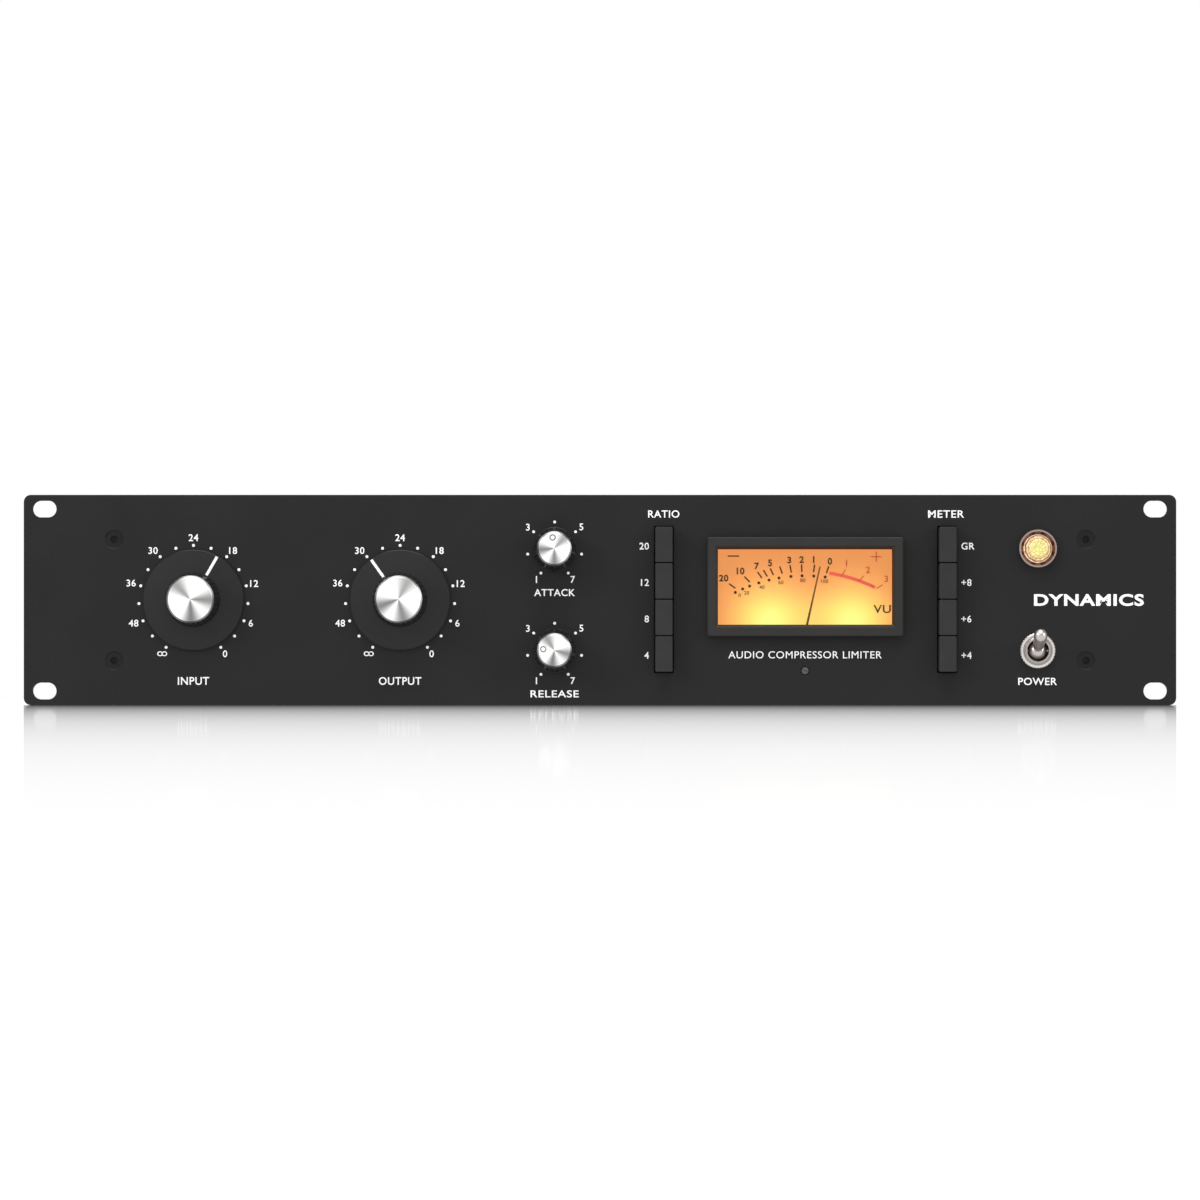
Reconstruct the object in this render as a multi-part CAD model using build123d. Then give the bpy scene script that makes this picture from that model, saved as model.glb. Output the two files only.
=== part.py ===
from build123d import *
import os
from math import atan, cos, degrees, radians, sin, sqrt
from types import SimpleNamespace

# Rack compressor, two rack units high, as the separate pieces it comes apart into.
# Millimetres. +X is right as seen from the front, +Y runs to the rear, +Z is up.
# The origin is the centre of the four rack slots, on the front panel's rear face.

os.makedirs("parts", exist_ok=True)

# ---------------------------------------------------------------- clearances
FIT = 0.05          # round a shaft that turns in its bush
SEAT = 0.02         # round a piece that is pressed, screwed or glued into its seat
SLIDE = 0.15        # round a stem or drawer that slides
THROUGH = 0.3       # round a fixed piece that passes through a plate
KNOB_GAP = 0.6      # front panel to the back of a knob
OVER = 1.0          # cutter beyond the face it opens
BALL_GAP = 0.35     # round the toggle's ball

# ---------------------------------------------------------------- front panel
PANEL_W = 482.6
PANEL_H = 88.1
PANEL_T = 3.0
PANEL_CORNER_R = 3.0
PANEL_EDGE = 0.4
SLOT_L = 10.0
SLOT_W = 7.0
SLOT_INSET_X = 8.75             # panel end to slot centre
SLOT_INSET_Z = 5.95             # panel edge to slot centre
PANEL_SCREW_X = 203.4
PANEL_SCREW_Z = 25.4
PANEL_SCREW_R = 2.0
PANEL_SCREW_HEAD_R = 3.5
PANEL_SCREW_SINK = 0.5          # head's face below the panel's face
PANEL_SCREW_L = 11.0
PANEL_SCREW_HEX = 3.0           # socket, across flats
PRESS_NUT_R = 4.0
PRESS_NUT_L = 5.0
CROSS_L = 1.3                   # screw's cross recess, as shares of its head's radius
CROSS_W = 0.25

# ---------------------------------------------------------------- case
SHEET = 1.2
CASE_W = 430.0
CASE_H = 86.0
CASE_D = 200.0                  # front panel's rear face to the rear panel's outside
LIP = 12.0
CASE_SCREW_R = 1.5
CASE_SCREW_HEAD_R = 2.8
CASE_SCREW_HEAD_H = 1.8
CASE_SCREW_L = 6.0
SIDE_SCREWS = 3                 # along each side of the cover
REAR_SCREWS = 3                 # along the cover's rear lip
VENT_L = 34.0
VENT_W = 3.0
VENT_PITCH = 9.0
VENTS = 15
VENT_ROWS = 2

# ---------------------------------------------------------------- rotary controls
BIG = SimpleNamespace(
    shaft_r=3.175, bush_wall=1.5, can_r=12.0, can_d=18.0,
    skirt_r=21.0, skirt_edge=1.4, skirt_rise=1.6, grip_r=11.4,
    cap_r=9.85, proud=19.0, flutes=30, flute_r=0.55,
)
SMALL = SimpleNamespace(
    shaft_r=3.0, bush_wall=0.95, can_r=8.5, can_d=12.0,
    skirt_r=9.3, skirt_edge=0.8, skirt_rise=0.2, grip_r=9.0,
    cap_r=7.15, proud=15.5, flutes=24, flute_r=0.55,
)
# name: x, z, clockwise turn at rest, sizes
DIALS = {
    "input": (-170.2, 0.0, 29.0, BIG),
    "output": (-83.7, 0.0, -35.5, BIG),
    "attack": (-19.0, 21.2, -9.0, SMALL),
    "release": (-19.0, -21.2, -84.0, SMALL),
}
WASHER_T = 0.5
NUT_T = 2.0
NUT_WALL = 1.6                  # bush to the nut's flats
WASHER_RIM = 0.4                # beyond the nut's corners
BUSH_OUT = 0.6                  # bush beyond its nut
RECESS_GAP = 0.8                # knob's recess beyond the washer and the bush
CAP_T = 1.2
CAP_PROUD = 0.5
CAP_BEVEL = 0.75                # width of the cap's bevel
CAP_RIM = 0.35                  # grip's end beyond the cap
KNOB_FLOOR = 2.5                # knob material between the shaft's bore and the cap
SHAFT_END_GAP = 0.5
SHAFT_FLAT = 1.2                # depth of the flat on a knob's shaft
KNOB_SOFT = 0.3                 # bevel on the skirt's edges
CAN_FLOOR = 3.0
LUG_PITCH = 5.0
LUG_W = 1.8
LUG_T = 0.6
LUG_IN = 2.0                    # lug inside the can, and out of it
LUG_OUT = 4.0

# ---------------------------------------------------------------- push keys
KEY_W = 7.2
KEY_H = 14.8
KEY_PITCH = 15.24
KEY_PROUD = 7.0
KEY_TRAVEL = 4.0
KEY_ROUND = 0.6
KEY_GAP = 0.6                   # round the column of keys in the panel
KEY_BEHIND = 1.0                # key's head behind the front wall
KEYS_Z = 0.2
STEM_W = 4.0
STEM_H = 6.0
STEM_IN = 10.0                  # stem inside its bank at rest
BANK_WALL = 4.0
BANK_FLOOR = 2.0
BANK_POST = 6.0
STOP_GAP = 0.5
RATIO_X = 26.7
METER_KEYS_X = 145.3
RATIO_KEYS = ["20", "12", "8", "4"]
METER_KEYS = ["gr", "plus_8", "plus_6", "plus_4"]

# ---------------------------------------------------------------- level meter
METER_X = 85.85
METER_Z = 5.5
VIEW_W = 73.8                   # opening in the bezel
VIEW_H = 32.5
BEZEL_SIDE = 4.05
BEZEL_TOP = 4.45
BEZEL_PROUD = 4.0
BEZEL_LIP_T = 2.5               # bezel in front of the window
BEZEL_SLOPE = 0.8
BEZEL_EDGE = 0.4
BEZEL_CORNER_R = 1.0
WINDOW_T = 1.5
WINDOW_LAP = 0.7                # window behind the bezel's edge
NECK_WALL = 1.0
METER_CASE_WALL = 1.5
METER_CASE_SIDE = 1.8           # case beyond the neck, each side
METER_CASE_UP = 4.5             # case above the neck
METER_CASE_D = 31.0
SCALE_GAP = 12.0                # window to the scale plate
SCALE_T = 0.8
SCALE_LEDGE = 2.5
PIVOT_DROP = 20.8               # meter's centre down to the needle's pivot
NEEDLE_L = 30.2
NEEDLE_TURN = 12.6              # clockwise from upright, at rest
NEEDLE_T = 0.4
NEEDLE_LIFT = 4.0               # needle in front of the scale plate
NEEDLE_ROOT_W = 1.0
NEEDLE_TIP_W = 0.5
NEEDLE_TAIL = 6.0
HUB_R = 2.2
HUB_FRONT = 0.4                 # hub in front of the needle, and behind it
HUB_BACK = 1.0
HUB_GAP = 1.0                   # round the hub in the scale plate
STAFF_R = 0.5
STAFF_FRONT = 1.0               # staff in front of the needle
MOVEMENT_R = 9.0
MOVEMENT_GAP = 1.5              # behind the scale plate
LAMP_SPREAD = [-14.2, 20.0]     # meter lamps, either side of the pivot
LAMP_R = 3.0
LAMP_SOCKET_R = 4.0
LAMP_DROP = 14.4                # meter's centre down to the lamps
ZERO_DROP = 35.1                # meter's centre down to the zero screw
ZERO_R = 1.45
ZERO_SLOT = 0.5
ZERO_PROUD = 0.4
ZERO_TURN = 20.0
ZERO_COLLAR_R = 2.2
ZERO_COLLAR_T = 1.0
ZERO_PIN_R = 0.5
ZERO_PIN_L = 1.0
ZERO_BRIDGE = 2.0
ZERO_BRIDGE_H = 14.0
ZERO_EDGE = 6.5                 # zero screw to the bottom of the meter's case

# ---------------------------------------------------------------- pilot lamp
PILOT_X = 183.2
PILOT_Z = 21.5
PILOT_RING_R = 8.15
PILOT_RING_BAND = 1.0
PILOT_PROUD = 3.0
PILOT_EDGE_W = 0.3
PILOT_EDGE_H = 0.5
PILOT_DISH = 0.15               # round the jewel at the bottom of the dish
PILOT_DISH_DEEP = 1.0           # bottom of the dish in front of the panel's face
PILOT_SEAT = 1.0                # ledge under the jewel
PILOT_BARREL_R = 6.9
PILOT_BARREL_L = 12.0
JEWEL_R = 5.95
JEWEL_H = 5.2                   # jewel in front of the panel
JEWEL_SEAT = 2.0                # jewel behind the panel's face
JEWEL_SIDES = 8
# rings of corners: share of the radius, turn in facets, share of the height
JEWEL_RINGS = [(1.0, 0.0, 0.5), (0.86, 0.5, 0.74), (0.58, 0.0, 0.92), (0.3, 0.5, 1.0)]
BULB_R = 3.2

# ---------------------------------------------------------------- mains toggle
TOGGLE_X = 183.2
TOGGLE_Z = -21.2
TOGGLE_TILT = 20.0              # lever above the axis at rest, and below it when thrown
TOGGLE_PIVOT_Y = -2.0           # lever's pivot, inside the bush
TOGGLE_NUT_R = 7.35
TOGGLE_NUT_T = 2.0
TOGGLE_KNURLS = 36
TOGGLE_KNURL_R = 0.3
TOGGLE_EDGE = 0.4
TOGGLE_BUSH_R = 5.7
TOGGLE_NOSE_R = 5.1
TOGGLE_MOUTH_R = 4.6
TOGGLE_OUT = 1.2                # bush beyond its nut
TOGGLE_LIP = 1.0                # straight part of the mouth
LEVER_BALL_R = 4.05
LEVER_NECK_R = 1.9
LEVER_WAIST_R = 2.4
LEVER_TIP_R = 2.8
LEVER_L = 18.0                  # pivot to the centre of the tip
LEVER_TAIL = 6.5
LEVER_TAIL_R = 1.4
LEVER_PIN_R = 0.75
LEVER_PIN_IN = 0.2              # pin's end below the bush's thread
TOGGLE_W = 18.0
TOGGLE_H = 30.0
TOGGLE_D = 20.0

# ---------------------------------------------------------------- rear connectors
INLET_X = 175.0
INLET_Z = 0.0
INLET_FLANGE_W = 50.0
INLET_FLANGE_H = 36.0
INLET_BODY_W = 29.0
INLET_BODY_H = 32.0
INLET_BODY_D = 24.0
INLET_FLANGE_T = 2.5
INLET_SCREW_X = 20.0
INLET_CORNER_R = 3.0
SOCKET_W = 24.4
SOCKET_H = 16.4
SOCKET_D = 17.0
SOCKET_WALL = 2.0               # above the socket, and between it and the fuse drawer
BLADE_T = 2.0
BLADE_H = 4.0
BLADE_L = 13.0
BLADE_X = 7.0
BLADE_STEP = 4.0                # earth blade above the other two
BLADE_SEAT = 3.0                # blade in the socket's floor
DRAWER_W = 22.0
DRAWER_H = 6.4
DRAWER_D = 20.0
DRAWER_LIP = 1.0
DRAWER_LIP_T = 1.5
DRAWER_NECK = 1.0               # drawer's body beyond its neck, each side
DRAWER_NECK_IN = 1.0            # neck inside the drawer's body
TROUGH_WALL = 1.5
FUSE_R = 2.6
XLR_IN_X = -180.0
XLR_OUT_X = -105.0
XLR_Z = 0.0
XLR_W = 26.0
XLR_H = 31.0
XLR_CORNER_R = 2.0
XLR_FLANGE_T = 2.0
XLR_SHELL_R = 11.8
XLR_D = 22.0
XLR_BORE_R = 9.6
XLR_BORE_D = 16.0
XLR_CORE_R = 7.9
XLR_CORE_IN = 1.0               # insert's face inside the flange
XLR_SCREW_X = 9.5
XLR_SCREW_Z = 12.0
XLR_PIN_R = 1.2
XLR_PIN_RING = 4.4
XLR_PIN_SEAT = 4.0              # pin in the bore's floor
XLR_PIN_TIP_IN = 2.0            # pin's tip inside the flange
XLR_PINS = [150.0, 30.0, 270.0]
LATCH_W = 6.0
LATCH_H = 3.6
LATCH_ROUND = 0.8
LATCH_Z = 12.2
LATCH_OUT = 2.0
LATCH_TRAVEL = 1.5
JACK_IN_X = -145.0
JACK_OUT_X = -70.0
JACK_Z = 0.0
JACK_BORE_R = 3.2
JACK_WALL = 1.5
JACK_OUT = 1.5                  # bush beyond its nut
JACK_BODY = 18.0
JACK_D = 30.0

# ---------------------------------------------------------------- inside the case
BOARD_T = 1.6
BOARD_X = [-195.0, 95.0]
BOARD_FRONT = 50.0              # behind the front panel
BOARD_REAR_GAP = 30.0           # in front of the rear panel's outside
BOARD_RAISE = 8.0
BOARD_INSET = 6.0
STANDOFF_AF = 6.0
STANDOFF_COLS = 3
CAN_SIDE = 30.0
CAN_TALL = 26.0
CAN_CORNER = 3.0
AUDIO_CANS = 2
AUDIO_CAN_PITCH = 44.0
CAPS = 8
CAP_BODY_R = 6.0
CAP_BODY_H = 22.0
CAP_PITCH = 17.0
TOROID_X = 155.0
TOROID_Y = 100.0
TOROID_R = 34.0
TOROID_H = 32.0
TOROID_CORE_R = 10.0
TOROID_ROUND = 8.0

# ---------------------------------------------------------------- derived planes
FACE = -PANEL_T                             # front panel's face
WALL = SHEET                                # rear face of the tray's front wall
KNOB_BACK = FACE - KNOB_GAP
FLOOR = -CASE_H / 2 + SHEET                 # inside of the tray's base
LID = CASE_H / 2 - SHEET                    # top of the tray's walls, underside of the cover
SIDE = CASE_W / 2
REAR = CASE_D - SHEET                       # inside of the rear panel
LIP_SCREW_Z = CASE_H / 2 - LIP / 2
SLOT_X = PANEL_W / 2 - SLOT_INSET_X
SLOT_Z = PANEL_H / 2 - SLOT_INSET_Z
KEYWAY_W = KEY_W + 2 * KEY_GAP
KEYWAY_H = (len(RATIO_KEYS) - 1) * KEY_PITCH + KEY_H + 2 * KEY_GAP
WINDOW_W = VIEW_W + 2 * WINDOW_LAP
WINDOW_H = VIEW_H + 2 * WINDOW_LAP
NECK_W = WINDOW_W + 2 * (SEAT + NECK_WALL)
NECK_H = WINDOW_H + 2 * (SEAT + NECK_WALL)
WINDOW_BACK = FACE - BEZEL_PROUD + BEZEL_LIP_T + WINDOW_T
SCALE_Y = WINDOW_BACK + SCALE_GAP
PIVOT_Z = METER_Z - PIVOT_DROP
ZERO_Z = METER_Z - ZERO_DROP
NEEDLE_Y = SCALE_Y - NEEDLE_LIFT
METER_CASE_W = NECK_W + 2 * (METER_CASE_SIDE + METER_CASE_WALL)
METER_CASE_TOP = METER_Z + NECK_H / 2 + METER_CASE_UP
METER_CASE_BOTTOM = ZERO_Z - ZERO_EDGE
METER_CASE_BACK = WALL + METER_CASE_D - METER_CASE_WALL
BOARD_Z = FLOOR + BOARD_RAISE
BOARD_REAR = CASE_D - BOARD_REAR_GAP
JACK_BUSH_R = JACK_BORE_R + JACK_WALL
JACK_NUT_AF = 2 * (JACK_BUSH_R + NUT_WALL)
DRAWER_Z = INLET_Z - INLET_BODY_H / 2 + SOCKET_WALL + DRAWER_H / 2
SOCKET_Z = INLET_Z + INLET_BODY_H / 2 - SOCKET_WALL - SOCKET_H / 2


# ---------------------------------------------------------------- helpers
def block(x0, x1, y0, y1, z0, z1):
    """Box between two opposite corners."""
    return Pos((x0 + x1) / 2, (y0 + y1) / 2, (z0 + z1) / 2) * Box(x1 - x0, y1 - y0, z1 - z0)


def prism(outline, y0, y1, x=0.0, z=0.0):
    """Outline drawn as seen from the front, made solid from y0 back to y1."""
    plane = Plane(origin=(x, y1, z), x_dir=(1, 0, 0), z_dir=(0, -1, 0))
    return extrude(plane * outline, y1 - y0)


def rod(r, y0, y1, x=0.0, z=0.0):
    """Round bar along Y."""
    return prism(Circle(r), y0, y1, x, z)


def turned(*profile):
    """Piece turned about the Y axis; each point of its profile is (radius, y)."""
    return revolve(make_face(Polyline(*profile, close=True)), Axis.Y)


def at(x, z, turn=0.0):
    """Place on the panel, turned clockwise as seen from the front."""
    return Pos(x, 0, z) * Rot(0, turn, 0)


def hexagon(across_flats):
    """Six-sided outline."""
    return RegularPolygon(across_flats / 2, 6, major_radius=False)


def screw(r, length, head_r, head_h):
    """Pan-head screw along its own Z axis, seated at Z = 0, with a cross recess."""
    head = Pos(0, 0, head_h / 2) * Cylinder(head_r, head_h)
    head = fillet(head.edges().group_by(Axis.Z)[-1], head_h / 2)
    shank = Pos(0, 0, -length / 2) * Cylinder(r, length)
    arm = Box(CROSS_L * head_r, CROSS_W * head_r, head_h)
    recess = Pos(0, 0, head_h) * (arm + Rot(0, 0, 90) * arm)
    return head + shank - recess


def case_screw(point, out):
    """One case screw with its head's seat at a point, facing out of the case."""
    body = screw(CASE_SCREW_R, CASE_SCREW_L, CASE_SCREW_HEAD_R, CASE_SCREW_HEAD_H)
    return Plane(origin=point, z_dir=out).location * body


def drill(point, out, r):
    """Cutter for a case screw's hole, from its head's seat inwards."""
    return Plane(origin=point, z_dir=out).location * Cylinder(r, 2 * CASE_SCREW_L)


def save(node, *pieces):
    """Write one node; each of its pieces stays a separate solid."""
    solids = [solid for piece in pieces for solid in piece.solids()]
    export_step(Compound(solids), f"parts/{node}.step")


# ---------------------------------------------------------------- places that repeat
def rack_slot_places():
    return [(x, z) for x in (-SLOT_X, SLOT_X) for z in (-SLOT_Z, SLOT_Z)]


def panel_screw_places():
    return [(x, z) for x in (-PANEL_SCREW_X, PANEL_SCREW_X) for z in (-PANEL_SCREW_Z, PANEL_SCREW_Z)]


def side_screw_places():
    """Cover's side screws: seat on the lip, and the way out."""
    step = CASE_D / SIDE_SCREWS
    rows = [step * (i + 0.5) for i in range(SIDE_SCREWS)]
    return [((s * (SIDE + SHEET), y, LIP_SCREW_Z), (s, 0, 0)) for s in (-1, 1) for y in rows]


def rear_screw_places():
    """Cover's rear screws: seat on the rear lip, and the way out."""
    step = CASE_W / REAR_SCREWS
    return [
        ((step * (i - (REAR_SCREWS - 1) / 2), CASE_D + SHEET, LIP_SCREW_Z), (0, 1, 0))
        for i in range(REAR_SCREWS)
    ]


def flange_screw_places():
    """Screws through the tray's sides into the rear panel's flanges."""
    return [
        ((s * SIDE, REAR - LIP / 2, z), (s, 0, 0))
        for s in (-1, 1) for z in (-CASE_H / 4, CASE_H / 4)
    ]


def board_places():
    """Standoffs under the main board."""
    x0 = BOARD_X[0] + BOARD_INSET
    step = (BOARD_X[1] - BOARD_X[0] - 2 * BOARD_INSET) / (STANDOFF_COLS - 1)
    rows = (BOARD_FRONT + BOARD_INSET, BOARD_REAR - BOARD_INSET)
    return [(x0 + step * i, y) for i in range(STANDOFF_COLS) for y in rows]


def key_places():
    """Key names with their places, top to bottom."""
    banks = (("ratio_button_", RATIO_KEYS, RATIO_X), ("meter_button_", METER_KEYS, METER_KEYS_X))
    return [
        (prefix + name, x, KEYS_Z + KEY_PITCH * ((len(names) - 1) / 2 - row))
        for prefix, names, x in banks for row, name in enumerate(names)
    ]


def xlr_screw_places(x):
    return [(x - XLR_SCREW_X, XLR_Z + XLR_SCREW_Z), (x + XLR_SCREW_X, XLR_Z - XLR_SCREW_Z)]


def connector_screw_places():
    """Screws of the rear connectors, with the thickness of the flange under each head."""
    places = [(INLET_X + s * INLET_SCREW_X, INLET_Z, INLET_FLANGE_T) for s in (-1, 1)]
    for x in (XLR_IN_X, XLR_OUT_X):
        places += [(sx, sz, XLR_FLANGE_T) for sx, sz in xlr_screw_places(x)]
    return places


# ---------------------------------------------------------------- front panel and case
def control_openings(y0, y1):
    """Openings for the controls, the same in the front panel and in the wall behind it."""
    cuts = [rod(bush_radius(k) + THROUGH, y0, y1, x, z) for x, z, _, k in DIALS.values()]
    keyway = RectangleRounded(KEYWAY_W, KEYWAY_H, KEY_ROUND)
    cuts += [prism(keyway, y0, y1, x, KEYS_Z) for x in (RATIO_X, METER_KEYS_X)]
    meter = Rectangle(NECK_W + 2 * THROUGH, NECK_H + 2 * THROUGH)
    cuts.append(prism(meter, y0, y1, METER_X, METER_Z))
    cuts.append(rod(ZERO_R + THROUGH, y0, y1, METER_X, ZERO_Z))
    cuts.append(rod(PILOT_BARREL_R + THROUGH, y0, y1, PILOT_X, PILOT_Z))
    cuts.append(rod(TOGGLE_BUSH_R + THROUGH, y0, y1, TOGGLE_X, TOGGLE_Z))
    return cuts


def front_panel():
    """Rack panel with slots, countersunk screw seats and control openings."""
    plate = prism(RectangleRounded(PANEL_W, PANEL_H, PANEL_CORNER_R), FACE, 0)
    plate = chamfer(plate.faces().sort_by(Axis.Y)[0].edges(), PANEL_EDGE)
    slot = SlotOverall(SLOT_L, SLOT_W)
    cuts = [prism(slot, FACE - OVER, OVER, x, z) for x, z in rack_slot_places()]
    rim_r = PANEL_SCREW_HEAD_R + PANEL_SCREW_SINK
    hole_r = PANEL_SCREW_R + THROUGH
    seat = turned((0, FACE), (rim_r, FACE), (hole_r, FACE + rim_r - hole_r), (hole_r, OVER), (0, OVER))
    cuts += [at(x, z) * seat for x, z in panel_screw_places()]
    return plate - cuts - control_openings(FACE - OVER, OVER)


def panel_screws():
    """Countersunk socket screws through the front panel."""
    face = FACE + PANEL_SCREW_SINK
    head_r, r = PANEL_SCREW_HEAD_R, PANEL_SCREW_R
    neck = face + head_r - r
    tip = face + PANEL_SCREW_L
    body = turned((0, face), (head_r, face), (r, neck), (r, tip), (0, tip))
    body -= prism(hexagon(PANEL_SCREW_HEX), face - OVER, neck)
    return [at(x, z) * body for x, z in panel_screw_places()]


def chassis_tray():
    """Folded tray: base, two sides and the wall behind the front panel."""
    tray = block(-SIDE, SIDE, 0, CASE_D, -CASE_H / 2, LID)
    tray -= block(SHEET - SIDE, SIDE - SHEET, WALL, CASE_D + OVER, FLOOR, LID + OVER)
    bosses = [rod(PRESS_NUT_R, 0, WALL + PRESS_NUT_L, x, z) for x, z in panel_screw_places()]
    nut_end = WALL + PRESS_NUT_L + OVER
    cuts = [rod(PANEL_SCREW_R + SEAT, -OVER, nut_end, x, z) for x, z in panel_screw_places()]
    cuts += [drill(p, out, CASE_SCREW_R + SEAT) for p, out in side_screw_places()]
    cuts += [drill(p, out, CASE_SCREW_R + THROUGH) for p, out in flange_screw_places()]
    return tray + bosses - cuts - control_openings(-OVER, WALL + OVER)


def rear_panel():
    """Rear wall with a flange down each side."""
    inner = SIDE - SHEET - SEAT
    plate = block(-inner, inner, REAR, CASE_D, FLOOR, LID)
    for s in (-1, 1):
        edges = sorted((s * inner, s * (inner - SHEET)))
        plate += block(*edges, REAR - LIP, REAR, FLOOR, LID)
    cuts = [drill(p, out, CASE_SCREW_R + SEAT) for p, out in flange_screw_places() + rear_screw_places()]
    y0, y1 = REAR - OVER, CASE_D + OVER
    cuts += [rod(XLR_SHELL_R + THROUGH, y0, y1, x, XLR_Z) for x in (XLR_IN_X, XLR_OUT_X)]
    cuts += [rod(JACK_BUSH_R + THROUGH, y0, y1, x, JACK_Z) for x in (JACK_IN_X, JACK_OUT_X)]
    cuts += [rod(CASE_SCREW_R + SEAT, y0, y1, x, z) for x, z, _ in connector_screw_places()]
    latch = Rectangle(LATCH_W + 2 * THROUGH, LATCH_H + 2 * THROUGH)
    cuts.append(prism(latch, y0, y1, XLR_IN_X, XLR_Z + LATCH_Z))
    inlet = Rectangle(INLET_BODY_W + 2 * THROUGH, INLET_BODY_H + 2 * THROUGH)
    cuts.append(prism(inlet, y0, y1, INLET_X, INLET_Z))
    return plate - cuts


def top_cover():
    """Lid with lips over the tray's sides and the rear panel, and rows of vents."""
    out = SIDE + SHEET
    cover = block(-out, out, 0, CASE_D + SHEET, LID, CASE_H / 2)
    low = CASE_H / 2 - LIP
    for s in (-1, 1):
        edges = sorted((s * SIDE, s * out))
        cover += block(*edges, 0, CASE_D + SHEET, low, LID)
    cover += block(-SIDE, SIDE, CASE_D, CASE_D + SHEET, low, LID)
    cuts = [drill(p, way, CASE_SCREW_R + THROUGH) for p, way in side_screw_places() + rear_screw_places()]
    slot = extrude(SlotOverall(VENT_L, VENT_W, rotation=90), 4 * SHEET)
    row_pitch = VENT_L + 4 * VENT_W
    for row in range(VENT_ROWS):
        y = CASE_D / 2 + row_pitch * (row - (VENT_ROWS - 1) / 2)
        for i in range(VENTS):
            cuts.append(Pos(VENT_PITCH * (i - (VENTS - 1) / 2), y, LID - SHEET) * slot)
    return cover - cuts


def case_screws():
    """Screws of the cover, of the rear panel's flanges and of the main board."""
    places = side_screw_places() + rear_screw_places() + flange_screw_places()
    top = BOARD_Z + BOARD_T
    places += [((x, y, top), (0, 0, 1)) for x, y in board_places()]
    return [case_screw(point, out) for point, out in places]


# ---------------------------------------------------------------- rotary controls
def bush_radius(k):
    return k.shaft_r + FIT + k.bush_wall


def washer_radius(k):
    return (bush_radius(k) + NUT_WALL) / cos(radians(30)) + WASHER_RIM


def bush_end():
    return FACE - WASHER_T - NUT_T - BUSH_OUT


def shaft_outline(r):
    """Round shaft with a flat on top."""
    return Circle(r) & Pos(0, -SHAFT_FLAT) * Rectangle(2 * r, 2 * r)


def knob_levels(k):
    """Y of the cap's face, of the cap's back and of the shaft's tip."""
    face = FACE - k.proud
    cap_back = face + CAP_T
    return face, cap_back, cap_back + KNOB_FLOOR + SHAFT_END_GAP


def knob(k):
    """Moulded knob: skirt, tapered fluted grip, seat for the cap, bore for the shaft."""
    face, cap_back, shaft_tip = knob_levels(k)
    end = face + CAP_PROUD
    edge_y = KNOB_BACK - k.skirt_edge
    base_y = edge_y - k.skirt_rise
    end_r = k.cap_r + CAP_RIM
    body = turned(
        (0, KNOB_BACK), (k.skirt_r - KNOB_SOFT, KNOB_BACK), (k.skirt_r, KNOB_BACK - KNOB_SOFT),
        (k.skirt_r, edge_y + KNOB_SOFT), (k.skirt_r - KNOB_SOFT, edge_y), (k.grip_r, base_y),
        (end_r, end), (0, end),
    )
    taper = atan((k.grip_r - end_r) / (base_y - end))
    length = base_y - end
    cutter = rod(k.flute_r, -length / 2 - OVER, length / 2 - KNOB_SOFT)
    middle_r = (k.grip_r + end_r) / 2 + k.flute_r / 3
    cutter = Pos(0, (base_y + end) / 2, middle_r) * Rot(degrees(taper), 0, 0) * cutter
    cuts = [Rot(0, 360 * i / k.flutes, 0) * cutter for i in range(k.flutes)]
    cuts.append(rod(washer_radius(k) + RECESS_GAP, bush_end() - RECESS_GAP, KNOB_BACK + OVER))
    cuts.append(prism(shaft_outline(k.shaft_r + SEAT), shaft_tip - SHAFT_END_GAP, KNOB_BACK))
    cuts.append(rod(k.cap_r + SEAT, face - OVER, cap_back))
    return body - cuts


def knob_cap(k):
    """Spun aluminium disc with a bevelled rim."""
    face, cap_back, _ = knob_levels(k)
    edge = face + CAP_PROUD
    return turned((0, face), (k.cap_r - CAP_BEVEL, face), (k.cap_r, edge), (k.cap_r, cap_back), (0, cap_back))


def pot_shaft(k):
    """Potentiometer's shaft with the flat that drives the knob."""
    _, _, tip = knob_levels(k)
    inner = WALL + k.can_d - CAN_FLOOR - SHAFT_END_GAP
    flat_end = bush_end() - RECESS_GAP / 2
    return prism(shaft_outline(k.shaft_r), tip, flat_end) + rod(k.shaft_r, flat_end, inner)


def pot(k):
    """Potentiometer's can with its threaded bush and three lugs."""
    body = rod(k.can_r, WALL, WALL + k.can_d) + rod(bush_radius(k), bush_end(), WALL)
    lug_y = WALL + k.can_d / 2
    lug = block(-LUG_W / 2, LUG_W / 2, lug_y, lug_y + LUG_T, k.can_r - LUG_IN, k.can_r + LUG_OUT)
    for i in (-1, 0, 1):
        body += Pos(LUG_PITCH * i, 0, 0) * lug
    return body - rod(k.shaft_r + FIT, bush_end() - OVER, WALL + k.can_d - CAN_FLOOR)


def pot_nut(k):
    """Hexagon nut and flat washer that clamp the bush to the panel."""
    bore = Circle(bush_radius(k) + SEAT)
    seat = FACE - WASHER_T
    nut = prism(hexagon(2 * (bush_radius(k) + NUT_WALL)) - bore, seat - NUT_T, seat)
    return [prism(Circle(washer_radius(k)) - bore, seat, FACE), nut]


# ---------------------------------------------------------------- push keys
KEY_BACK = WALL + KEY_BEHIND
BANK_FRONT = KEY_BACK + KEY_TRAVEL + STOP_GAP
BANK_BACK = BANK_FRONT + STEM_IN + KEY_TRAVEL + STOP_GAP + BANK_FLOOR


def key():
    """Push key with rounded front edges and the stem that its bank guides."""
    front = FACE - KEY_PROUD
    head = prism(RectangleRounded(KEY_W, KEY_H, KEY_ROUND), front, KEY_BACK)
    head = fillet(head.faces().sort_by(Axis.Y)[0].edges(), KEY_ROUND / 2)
    return head + prism(Rectangle(STEM_W, STEM_H), KEY_BACK, BANK_FRONT + STEM_IN)


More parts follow.
